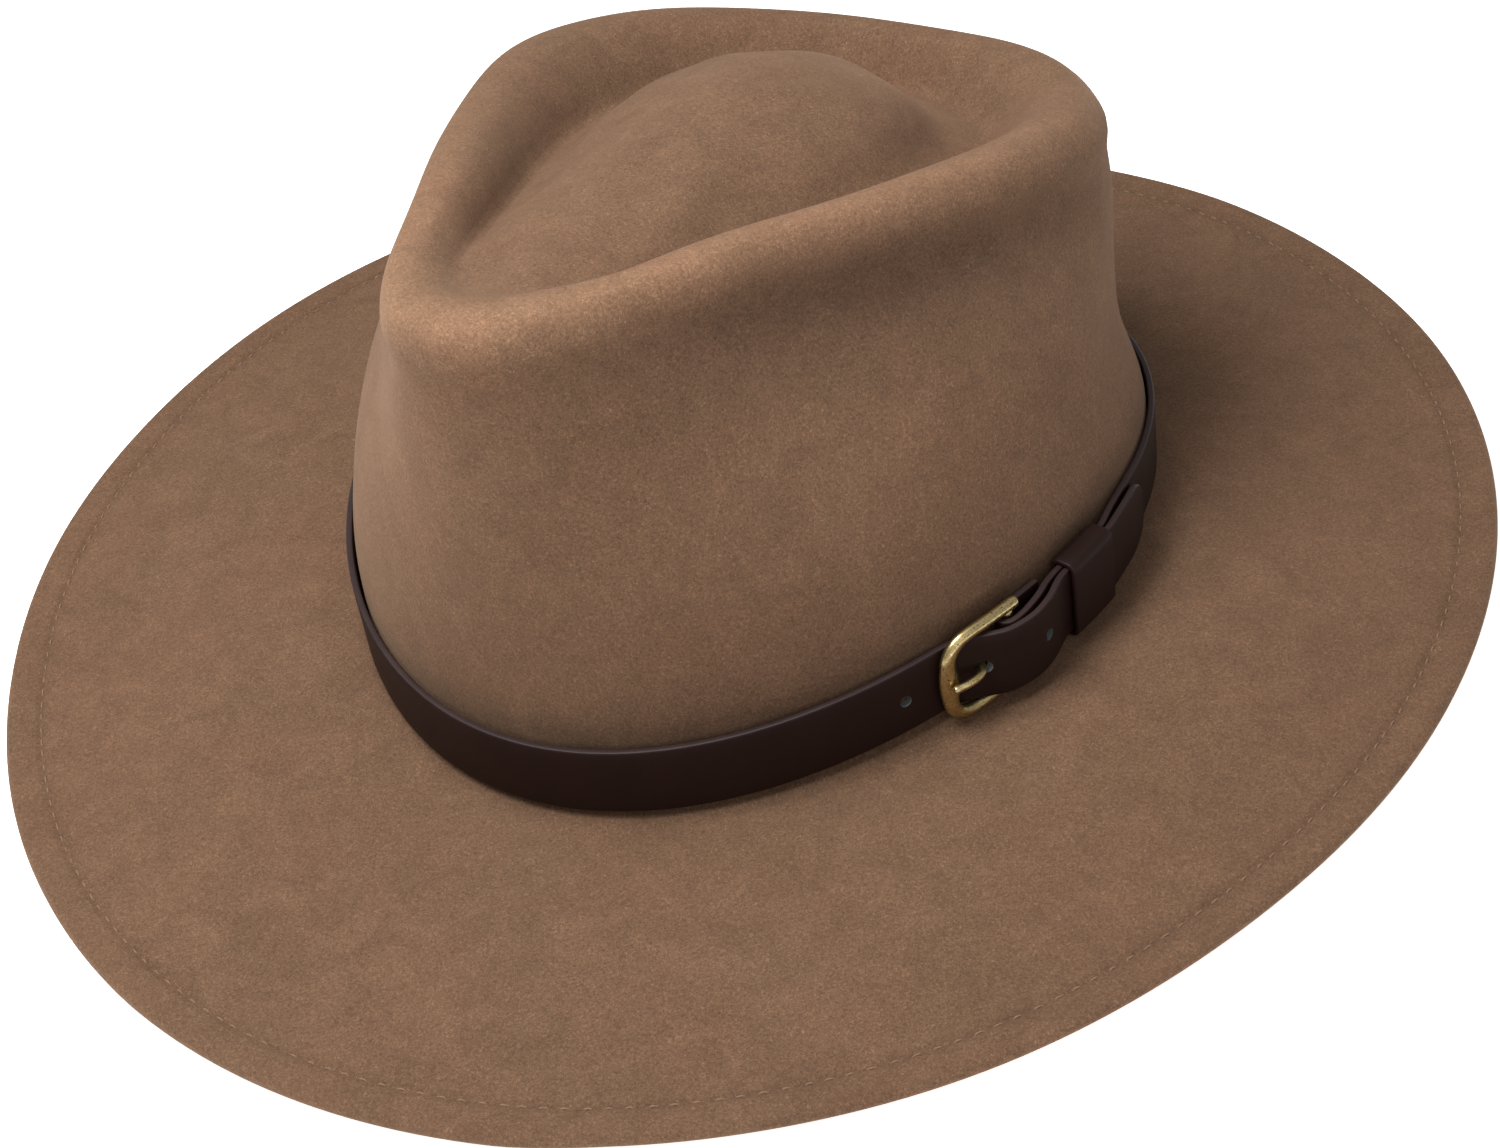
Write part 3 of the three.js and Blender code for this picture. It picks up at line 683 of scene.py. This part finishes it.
def keeper_mesh():
    """Points and faces of the keeper's section carried round the strap's two layers."""
    low = KEEPER_CLEAR + KEEPER / 2
    high = UNDER_KEEPER + NEXT + STRAP / 2 + GAP + KEEPER / 2
    tall = STRAP_WIDTH / 2 + GAP + KEEPER / 2
    loop = []
    for out, up, start in ((high, tall, 0), (low, tall, 90), (low, -tall, 180), (high, -tall, 270)):
        inward_out = -KEEPER_CORNER if out == high else KEEPER_CORNER
        inward_up = -KEEPER_CORNER if up > 0 else KEEPER_CORNER
        for bend in KEEPER_TURNS:
            turn = math.radians(start + bend)
            loop.append((out + inward_out + KEEPER_CORNER * math.cos(turn),
                         up + inward_up + KEEPER_CORNER * math.sin(turn), turn))
    width = (KEEPER_TO - KEEPER_FROM) / 2
    section = rounded_section(width * MM_PER_DEGREE, KEEPER / 2, KEEPER_EDGE)
    middle = (KEEPER_FROM + KEEPER_TO) / 2
    points = [band_point(middle + across / MM_PER_DEGREE, out + thick * math.cos(turn),
                         up + thick * math.sin(turn))
              for out, up, turn in loop for across, thick in section]
    return points, ring_faces(len(loop), len(section), True)


points, faces = keeper_mesh()
keeper = add_piece("keeper_loop", points, faces, replaced="strap_keeper", slot="leather")

# %% [markdown]
# ## The buckle's frame
# The frame is cast brass: a horseshoe whose two arms carry the hinge bar. Its outer bar is broader than
# its arms, and every edge is soft from tumbling, so the section is an oval that widens round the corners.

# %% Build the buckle's frame
ARM = 1.35
ARM_HEIGHT = STRAP_WIDTH / 2 + GAP + ARM
CORNER_WIDE = 1.9
OUTER_BAR_WIDE = 2.4
BAR_CLEAR = 0.5
OUTER_BAR_OUT = LAID + STRAP / 2 + BAR_CLEAR + ARM
BUCKLE_CORNER = 5.5
FRAME_SIDES = 28
FRAME_STEP = 0.5
BUCKLE_TURNS = (0, 22.5, 45, 67.5, 90)

# Each place on an arm: length from the hinge bar, then its half width and half thickness as parts of ARM.
ARM_PLACES = ((-2.9, 0.3, 0.3), (-2.75, 0.68, 0.68), (-2.3, 0.94, 0.94),
              (-1.6, 1, 1), (1, 1, 1), (6, 1.05, 1))


def oval_sweep(rows, sides, spacing, closed=False):
    """A bar swept along rows of point, half width, half thickness and the direction it faces."""
    rows = smooth_route(rows, spacing, closed)
    count = len(rows)
    points = []
    for i, row in enumerate(rows):
        before = rows[(i - 1) % count if closed else max(i - 1, 0)][:3]
        after = rows[(i + 1) % count if closed else min(i + 1, count - 1)][:3]
        along = (after - before) / np.linalg.norm(after - before)
        across = np.cross(along, row[5:8])
        across /= np.linalg.norm(across)
        face = np.cross(across, along)
        for k in range(sides):
            turn = FULL_TURN * k / sides
            points.append(row[:3] + across * row[3] * math.cos(turn) + face * row[4] * math.sin(turn))
    return points, ring_faces(count, sides, closed)


def frame_rows():
    """The frame's upper half from the arm's end to the outer bar's corner, then its mirror."""
    places = [(along, ARM_HEIGHT, ARM * wide, ARM * thick) for along, wide, thick in ARM_PLACES]
    for turn in BUCKLE_TURNS:
        angle = math.radians(turn)
        wide = ARM + (CORNER_WIDE - ARM) * turn / 90
        places.append((BUCKLE_REACH - BUCKLE_CORNER * (1 - math.sin(angle)),
                       ARM_HEIGHT - BUCKLE_CORNER * (1 - math.cos(angle)), wide, ARM))
    lower = [(along, -up, wide, thick) for along, up, wide, thick in reversed(places)]
    rows = []
    for along, up, wide, thick in [*places, (BUCKLE_REACH, 0, OUTER_BAR_WIDE, ARM), *lower]:
        out = HINGE_OUT + (OUTER_BAR_OUT - HINGE_OUT) * max(0, along / BUCKLE_REACH)
        at = from_hinge(along)
        facing = band_point(at, out + 1) - band_point(at, out)
        rows.append((*band_point(at, out, up), wide, thick, *facing))
    return rows


points, faces = oval_sweep(frame_rows(), FRAME_SIDES, FRAME_STEP)
buckle_frame = add_piece("buckle_frame_brass", points, faces, replaced="buckle_frame", slot="brass")

# %% [markdown]
# ## The hinge bar
# The hinge bar is a plain round pin between the arms. The strap's fold hides all but its ends, which
# run into the arms, so it is a short bar of its own, swept the same way.

# %% Build the hinge bar
BAR_SIDES = 20
BAR_STEP = 2
bar_facing = band_point(HINGE_AT, HINGE_OUT + 1) - band_point(HINGE_AT, HINGE_OUT)
bar_rows = [(*band_point(HINGE_AT, HINGE_OUT, ARM_HEIGHT * part), HINGE_BAR, HINGE_BAR, *bar_facing)
            for part in (-1, 0, 1)]
points, faces = oval_sweep(bar_rows, BAR_SIDES, BAR_STEP)
hinge_bar = add_piece("buckle_hinge_bar", points, faces, slot="brass")

# %% [markdown]
# ## The prong
# The prong is one bent wire: an eye round the hinge bar and a shaft that dips under the strap's fold,
# comes up through the punched hole and lies on the outer bar. The eye is a closed sweep and the shaft an
# open one that thins a little at its tip.

# %% Build the prong
EYE_WIRE = 0.7
EYE = HINGE_BAR + GAP + EYE_WIRE
EYE_POINTS = 16
EYE_SIDES = 16
EYE_STEP = 0.5
PRONG_SIDES = 20
PRONG_STEP = 0.4


def prong_eye_rows():
    """The closed ring of wire round the hinge bar."""
    rows = []
    for turn in np.linspace(0, FULL_TURN, EYE_POINTS, endpoint=False):
        centre = band_point(from_hinge(EYE * math.cos(turn)), HINGE_OUT + EYE * math.sin(turn))
        facing = centre - band_point(HINGE_AT, HINGE_OUT)
        rows.append((*centre, PRONG, EYE_WIRE, *facing))
    return rows


def prong_shaft_rows():
    """Each row: length from the hinge bar, distance out, and its part of the full thickness."""
    top = OUTER_BAR_OUT + ARM + GAP + PRONG
    shaft = [
        (EYE - 0.4, HINGE_OUT - 0.2, 1), (4.4, 2.75, 1), (6.1, 2.35, 1), (7.2, 2.9, 1), (8.1, 4.2, 1),
        (9.0, 5.7, 1), (10.6, top + 0.1, 1), (13.5, top + 0.2, 1), (BUCKLE_REACH - 1, top, 1),
        (BUCKLE_REACH + 0.2, top - 0.1, 0.92), (BUCKLE_REACH + 0.4, top - 0.15, 0.6),
    ]
    return [(*band_point(from_hinge(along), out), PRONG * end, PRONG * end, 0, 0, 1)
            for along, out, end in shaft]


points, faces = oval_sweep(prong_shaft_rows(), PRONG_SIDES, PRONG_STEP)
prong = add_piece("prong_brass", points, faces, replaced="buckle_prong", slot="brass")
points, faces = oval_sweep(prong_eye_rows(), EYE_SIDES, EYE_STEP, closed=True)
prong_eye = add_piece("prong_eye_brass", points, faces, slot="brass")


# %% [markdown]
# ## Making materials
# Every finish below is a tree of nodes. One small function adds a node, sets its values and links its
# sockets, and a few more add the kinds that every recipe needs, so each reads as a short list. Patterns
# are laid out in the object's own metres: a noise whose scale is one over a size repeats about once in
# that size.

# %% Material helpers
def new_material(name):
    """A material with an empty tree of nodes."""
    material = bpy.data.materials.new(name)
    material.use_nodes = True
    material.node_tree.nodes.clear()
    return material


def add_node(material, kind, settings=None, links=None):
    """Adds a node; settings are its own properties or sockets, links feed its sockets."""
    node = material.node_tree.nodes.new(kind)
    for name, value in (settings or {}).items():
        if isinstance(name, str) and hasattr(node, name):
            setattr(node, name, value)
        else:
            node.inputs[name].default_value = value
    for name, source in (links or {}).items():
        material.node_tree.links.new(source, node.inputs[name])
    return node


def per_mm(size):
    """The scale that makes a noise repeat about once in a size given in millimetres."""
    return 1 / (size * MM)


def add_noise(material, place, size, detail=2, roughness=0.5, distortion=0):
    """Noise whose patches have a size in millimetres."""
    settings = {"Scale": per_mm(size), "Detail": detail, "Roughness": roughness, "Distortion": distortion}
    return add_node(material, "ShaderNodeTexNoise", settings, {"Vector": place}).outputs["Fac"]


def add_range(material, value, low, high, to_low=0, to_high=1):
    """A number stretched from one range to another."""
    settings = {"From Min": low, "From Max": high, "To Min": to_low, "To Max": to_high}
    return add_node(material, "ShaderNodeMapRange", settings, {"Value": value}).outputs["Result"]


def add_mix(material, amount, first, second):
    """Two colours mixed by an amount; each is an sRGB hex colour or another node's output."""
    settings, links = {"data_type": "RGBA"}, {0: amount}
    for socket, colour in ((6, first), (7, second)):
        if isinstance(colour, str):
            settings[socket] = linear(colour)
        else:
            links[socket] = colour
    return add_node(material, "ShaderNodeMix", settings, links).outputs[2]


def add_bump(material, height, strength, depth, normal=None, invert=False):
    """Small relief whose depth is in millimetres, on top of an earlier one if that is given."""
    settings = {"Strength": strength, "Distance": depth * MM, "invert": invert}
    links = {"Height": height} if normal is None else {"Height": height, "Normal": normal}
    return add_node(material, "ShaderNodeBump", settings, links).outputs["Normal"]


def add_surface(material, settings, links=None):
    """The shader and the output that end a tree."""
    shader = add_node(material, "ShaderNodeBsdfPrincipled", settings, links)
    add_node(material, "ShaderNodeOutputMaterial", links={"Surface": shader.outputs["BSDF"]})


# %% [markdown]
# ## Painted light and shade on the felt
# A painted highlight lightens the felt on the ridge, which stands proud, most at 25 degrees round from
# the front. Painted shade darkens the dent under the ridge, the felt beside the strap, the foot of the
# wall above it and the stitch groove. How strong each tone is was judged from the photo. The tone depends
# on the place on the hat, so it is worked out for each vertex from the same distances and angles as the
# shape, and kept on the mesh as one number round 1.

# %% Painted light and shade on the felt
# Painted highlight on the ridge, lightest at 25 degrees round from the front.
RIDGE_PAINTED_HIGHLIGHT = 0.58
RIDGE_HIGHLIGHT_AT = math.radians(25)
# Painted shade in the dent under the ridge, on both sides of the crown.
DENT_PAINTED_SHADE = 0.46
# Painted shade on the felt beside the strap, at its lower and upper edge.
STRAP_PAINTED_SHADE = 0.3
# Painted shade in the stitch groove at the rim.
SEAM_PAINTED_SHADE = 0.12
# Painted shade at the foot of the crown's wall above the strap.
FOOT_PAINTED_SHADE = 0.16
DENT_AT, DENT_SPREAD = 75, 38

# Each painted tone lies round a row of the table: the row, how far past it, and how far the tone spreads,
# in mm.
PAINTED_TONE_PLACES = {
    "ridge": ("ridge", 1.5, 7.5),
    "dent": ("dent", -1, 12),
    "strap_foot": ("break_up", 0, 4.2),
    "strap_top": ("band_top", 0, 4.2),
    "wall_foot": ("band_top", 0, 13),
    "seam": ("seam", 0, 1.4),
}


def painted_tone_at(run, angle):
    """Painted light and shade at each point: a painted highlight above 1 on the ridge, painted shade below
    1.
    """
    turn = np.degrees(np.abs((angle + math.pi) % FULL_TURN - math.pi))[None, :]

    def band(name):
        row, past, spread = PAINTED_TONE_PLACES[name]
        return bell(run - RUN_OF[row] - past, spread)[:, None]

    # Share of the painted highlight on the ridge, most at 25 degrees round from the front.
    highlight_share = 0.5 + 0.5 * np.cos(angle - RIDGE_HIGHLIGHT_AT)[None, :]
    tone = 1 + RIDGE_PAINTED_HIGHLIGHT * highlight_share * band("ridge")
    # Painted shade in the dent under the ridge.
    tone = tone - DENT_PAINTED_SHADE * band("dent") * bell(turn - DENT_AT, DENT_SPREAD)
    # Painted shade beside the strap, at the foot of the wall above it and in the stitch groove.
    return (tone - STRAP_PAINTED_SHADE * (band("strap_foot") + band("strap_top"))
            - FOOT_PAINTED_SHADE * band("wall_foot") - SEAM_PAINTED_SHADE * band("seam"))


# The painted light and shade of every outer vertex, kept on the mesh for the felt's colour.
painted_tones = painted_tone_at(OUTER_ROWS, ANGLES).ravel()
plain = np.ones(len(felt_body.data.vertices) - len(painted_tones) - 1)
painted_light_and_shade = felt_body.data.attributes.new("painted_light_and_shade", "FLOAT", "POINT")
painted_light_and_shade.data.foreach_set("value", np.concatenate([plain, painted_tones, [1.0]]).astype(np.float32))
print("nap tone from %.2f to %.2f" % (painted_tones.min(), painted_tones.max()))

# %% [markdown]
# ## Fur felt
# Fur felt is matted hare or rabbit fur, shaved and brushed to a short nap. It has no gloss, its fibres
# lie every way and differ a little in colour, and the tips glow where the surface turns away from the
# eye. So the finish is rough, with sheen for the glow. The single hairs are 0.02 mm thick, too fine to
# show, so they are drawn as flecks of 0.6 to 0.8 mm, dark between the tufts and light on their tips.
# Patches of a centimetre show where the nap was brushed differently, and clouds of three centimetres
# where the dye took a little differently.

# %% Fur felt
FIBRE = 0.58
TIP = 0.8
NAP_PATCH = 10
CLOUD = 30
felt = new_material("fur_felt_brushed_nap")
place = add_node(felt, "ShaderNodeTexCoord").outputs["Object"]
fibre = add_noise(felt, place, FIBRE, roughness=0.6, distortion=0.9)
tip = add_noise(felt, place, TIP, roughness=0.7, distortion=2.2)
patch = add_noise(felt, place, NAP_PATCH, detail=4, roughness=0.6, distortion=0.9)
cloud = add_noise(felt, place, CLOUD)
clouds = add_mix(felt, cloud, "#6c4f3d", "#67503d")
tipped = add_mix(felt, add_range(felt, tip, 0.52, 0.72, 0, 0.6), clouds, "#917258")
fibre_tone = add_range(felt, fibre, 0.3, 0.7, 0.7, 1.24)
patch_tone = add_range(felt, patch, 0.3, 0.7, 0.87, 1.1)
# The felt's colour is scaled by the painted light and shade kept on the mesh.
painted_light_node = add_node(felt, "ShaderNodeAttribute", {"attribute_name": "painted_light_and_shade"})
both = add_node(felt, "ShaderNodeMath", {"operation": "MULTIPLY"}, {0: fibre_tone, 1: patch_tone})
tone = add_node(felt, "ShaderNodeMath", {"operation": "MULTIPLY"},
                {0: both.outputs[0], 1: painted_light_node.outputs["Fac"]})
colour = add_node(felt, "ShaderNodeVectorMath", {"operation": "SCALE"},
                  {0: tipped, "Scale": tone.outputs[0]})
bump = add_bump(felt, fibre, 0.55, 0.25)
soft = add_bump(felt, patch, 0.25, 0.6, normal=bump)
add_surface(felt, {"Roughness": 0.95, "Specular IOR Level": 0.15, "Sheen Weight": 0.24,
                   "Sheen Roughness": 0.5, "Sheen Tint": linear("#d2ae90")},
            {"Base Color": colour.outputs[0], "Normal": soft})
felt_body.data.materials.append(felt)

# %% [markdown]
# ## Cotton thread
# The rim is sewn with a matte cotton thread dyed to the felt. It is a shade lighter than the nap and
# slightly smoother, which is all that makes the stitches show.

# %% Cotton thread
PLY = 0.45
thread = new_material("cotton_thread_dyed")
place = add_node(thread, "ShaderNodeTexCoord").outputs["Object"]
colour = add_mix(thread, add_noise(thread, place, PLY), "#705441", "#947860")
add_surface(thread, {"Roughness": 0.8, "Specular IOR Level": 0.25}, {"Base Color": colour})
for name in ("rim_stitches_top", "rim_stitches_under"):
    bpy.data.objects[name].data.materials.append(thread)

# %% [markdown]
# ## Strap leather
# The strap is full-grain cowhide, dyed dark brown and finished with a thin wax. Its grain is a fine
# pebble of under a millimetre, the wax gives a broad soft reflection, and dye takes unevenly. The
# strap's faces along both cut edges have a finish of their own, a lighter, greyer brown: partly the raw
# edge's own colour, partly a painted reflection of the light along the upper edge. The raw hide shows
# grey in the punched holes.

# %% Strap leather
GRAIN = 0.8
PORES = 0.35
DYE_PATCH = 12


def leather_finish(name, dark, light, smooth, coarse):
    """Dyed leather whose gloss wanders between two roughnesses with its dye."""
    material = new_material(name)
    place = add_node(material, "ShaderNodeTexCoord").outputs["Object"]
    grain = add_node(material, "ShaderNodeTexVoronoi", {"Scale": per_mm(GRAIN), "Randomness": 1.0},
                     {"Vector": place})
    dye = add_noise(material, place, DYE_PATCH, detail=4)
    pores = add_noise(material, place, PORES)
    colour = add_mix(material, dye, dark, light)
    gloss = add_range(material, dye, 0, 1, smooth, coarse)
    pebble = add_bump(material, grain.outputs["Distance"], 0.14, 0.12, invert=True)
    fine = add_bump(material, pores, 0.1, 0.08, normal=pebble)
    add_surface(material, {"IOR": 1.5, "Specular IOR Level": 0.2},
                {"Base Color": colour, "Roughness": gloss, "Normal": fine})
    return material


leather = leather_finish("waxed_cowhide_dark_brown", "#190b08", "#25120d", 0.46, 0.6)
leather_edge_and_reflection = leather_finish("leather_edge_and_painted_reflection", "#291d1c", "#382b2a", 0.42, 0.55)
raw_leather = leather_finish("raw_leather_in_the_holes", "#565c5c", "#6d7372", 0.7, 0.8)
EDGE_TILT = 0.62
HOLE_WALL_TILT = 0.3
EDGE_FINISH, RAW_FINISH = 1, 2
for piece in (strap, keeper):
    piece.data.materials.clear()
    piece.data.materials.append(leather)
strap.data.materials.append(leather_edge_and_reflection)
strap.data.materials.append(raw_leather)
# The faces along both edges get the lighter, greyer edge finish: partly the edge's own colour, partly a
# painted reflection.
edge_faces = [face for face in strap.data.polygons if abs(face.normal.z) > EDGE_TILT]
for face in edge_faces:
    face.material_index = EDGE_FINISH
in_holes = 0
for along, out, radius, depth in HOLES:
    centre = Vector(band_point(from_hinge(along), out)) * MM
    outward = (Vector(band_point(from_hinge(along), out + 1)) * MM - centre).normalized()
    for face in strap.data.polygons:
        away = face.center - centre
        beside = away - outward * away.dot(outward)
        on_wall = beside.length < radius * MM and abs(face.normal.dot(outward)) < HOLE_WALL_TILT
        if on_wall and away.length < depth * MM:
            face.material_index = RAW_FINISH
            in_holes += 1
print("faces of the strap:", len(edge_faces), "on its edges and", in_holes, "in its holes")

# %% [markdown]
# ## Antique brass
# The buckle is cast brass that was darkened in a bath and then rubbed. A noise of about a millimetre
# moves its colour between a duller and a brighter brass, and specks of under half a millimetre keep the
# dark tarnish. The metal is satin, not mirror, and smoothest where it is brightest.

# %% Antique brass
TARNISH = 1.1
SPECK = 0.4
brass = new_material("antique_brass_rubbed")
place = add_node(brass, "ShaderNodeTexCoord").outputs["Object"]
tarnish = add_range(brass, add_noise(brass, place, TARNISH, detail=5, roughness=0.65), 0.3, 0.7)
speck = add_noise(brass, place, SPECK)
rubbed = add_mix(brass, tarnish, "#ac9662", "#d8c694")
colour = add_mix(brass, add_range(brass, speck, 0.3, 0.4), "#4c3c22", rubbed)
satin = add_range(brass, tarnish, 0, 1, 0.4, 0.24)
scratches = add_bump(brass, speck, 0.12, 0.05)
add_surface(brass, {"Metallic": 1.0}, {"Base Color": colour, "Roughness": satin, "Normal": scratches})
for piece in (buckle_frame, hinge_bar, prong, prong_eye):
    piece.data.materials.append(brass)

# %% [markdown]
# ## The floor
# The hat stands on a plain floor of white paper on a light table. The paper glows a little, which keeps
# it white round the hat without adding light to the top of the hat.

# %% Floor
FLOOR_RADIUS = 3000
FLOOR_SIDES = 64
floor_points = [(FLOOR_RADIUS * math.cos(t), FLOOR_RADIUS * math.sin(t), 0)
                for t in np.linspace(0, FULL_TURN, FLOOR_SIDES, endpoint=False)]
floor = add_piece("studio_floor", floor_points, [tuple(range(FLOOR_SIDES))])
floor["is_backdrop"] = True
paper = new_material("backlit_studio_paper")
add_surface(paper, {"Base Color": linear("#f8f8f6"), "Roughness": 0.9, "Specular IOR Level": 0.1,
                    "Emission Color": linear("#ffffff"), "Emission Strength": 0.8})
floor.data.materials.append(paper)

# %% [markdown]
# ## The camera
# The camera looks from the photo's angle. Its direction, distance and focal length were worked out
# together from the outlines of the brim, the strap and the ridge in the photo, so distance and focal
# length are each less certain than the view they give. The focal length is in pixels of the photo, and
# the small shift puts the point aimed at in its place in the picture.

# %% The camera, at the photograph's angle
IMAGE_WIDTH, IMAGE_HEIGHT = 1500, 1148
FOCAL_PX = 2675
DISTANCE = 640
ELEVATION, AZIMUTH, ROLL = math.radians(37.35), math.radians(36), math.radians(-8.87)
AIMED_AT = (0, CROWN_AT, 1.5)
AIMED_PX = (759, 530)
SENSOR_WIDTH = 36

back = np.array([math.sin(AZIMUTH) * math.cos(ELEVATION), -math.cos(AZIMUTH) * math.cos(ELEVATION),
                 math.sin(ELEVATION)])
level_right = np.array([math.cos(AZIMUTH), math.sin(AZIMUTH), 0])
level_up = np.cross(back, level_right)
right = math.cos(ROLL) * level_right + math.sin(ROLL) * level_up
up = -math.sin(ROLL) * level_right + math.cos(ROLL) * level_up

camera_data = bpy.data.cameras.new("photo_camera")
camera_data.sensor_width = SENSOR_WIDTH
camera_data.lens = FOCAL_PX * SENSOR_WIDTH / IMAGE_WIDTH
camera_data.shift_x = (IMAGE_WIDTH / 2 - AIMED_PX[0]) / IMAGE_WIDTH
camera_data.shift_y = (AIMED_PX[1] - IMAGE_HEIGHT / 2) / IMAGE_WIDTH
camera = bpy.data.objects.new("photo_camera", camera_data)
bpy.context.scene.collection.objects.link(camera)
bpy.context.scene.camera = camera
axes = np.eye(4)
axes[:3, 0], axes[:3, 1], axes[:3, 2] = right, up, back
axes[:3, 3] = (np.array(AIMED_AT) + back * DISTANCE) * MM
camera.matrix_world = Matrix(axes.tolist())
print("camera height above the floor: %.0f mm" % (camera.location.z / MM))


# %% [markdown]
# ## Light
# A softbox high on the left gives the slow fall of light toward the right and the back. A larger and
# weaker one stands farther off in front, on the right, and a pale surround fills the shadows. An area
# light makes softer shadows the larger it is. The Standard view keeps the colours as they are worked out.

# %% Lights and surround
LIT_HEIGHT = 50


def add_softbox(name, left, toward, height, size, power):
    """A square area light, placed from the hat's middle to the camera's left and toward it."""
    light = bpy.data.lights.new(name, "AREA")
    light.size = size * MM
    light.energy = power
    box = bpy.data.objects.new(name, light)
    bpy.context.scene.collection.objects.link(box)
    toward_camera = np.array([math.sin(AZIMUTH), -math.cos(AZIMUTH), 0])
    place = -left * level_right + toward * toward_camera + np.array([0, 0, height])
    box.location = Vector(place * MM)
    aim = Vector(np.array([0, 0, LIT_HEIGHT]) - place)
    box.rotation_euler = aim.to_track_quat("-Z", "Y").to_euler()


add_softbox("key_softbox", left=210, toward=100, height=620, size=360, power=5.4)
add_softbox("front_softbox", left=-250, toward=900, height=600, size=900, power=2.1)

surround = bpy.data.worlds.new("studio_surround")
surround.use_nodes = True
bpy.context.scene.world = surround
surround.node_tree.nodes["Background"].inputs["Color"].default_value = linear("#f2f2f4")
surround.node_tree.nodes["Background"].inputs["Strength"].default_value = 0.38
bpy.context.scene.view_settings.view_transform = "Standard"

# %% [markdown]
# ## The sizes of the frame and the dressed hat
# The dressed hat must stay inside the frame's box, apart from the little that soft felt may stand proud.
# Both boxes are printed.

# %% Print both boxes
new_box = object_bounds()
print("box of the frame and of the dressed hat, in mm:")
for box in (cad_box, new_box):
    print([[round(value / MM, 1) for value in corner] for corner in box])
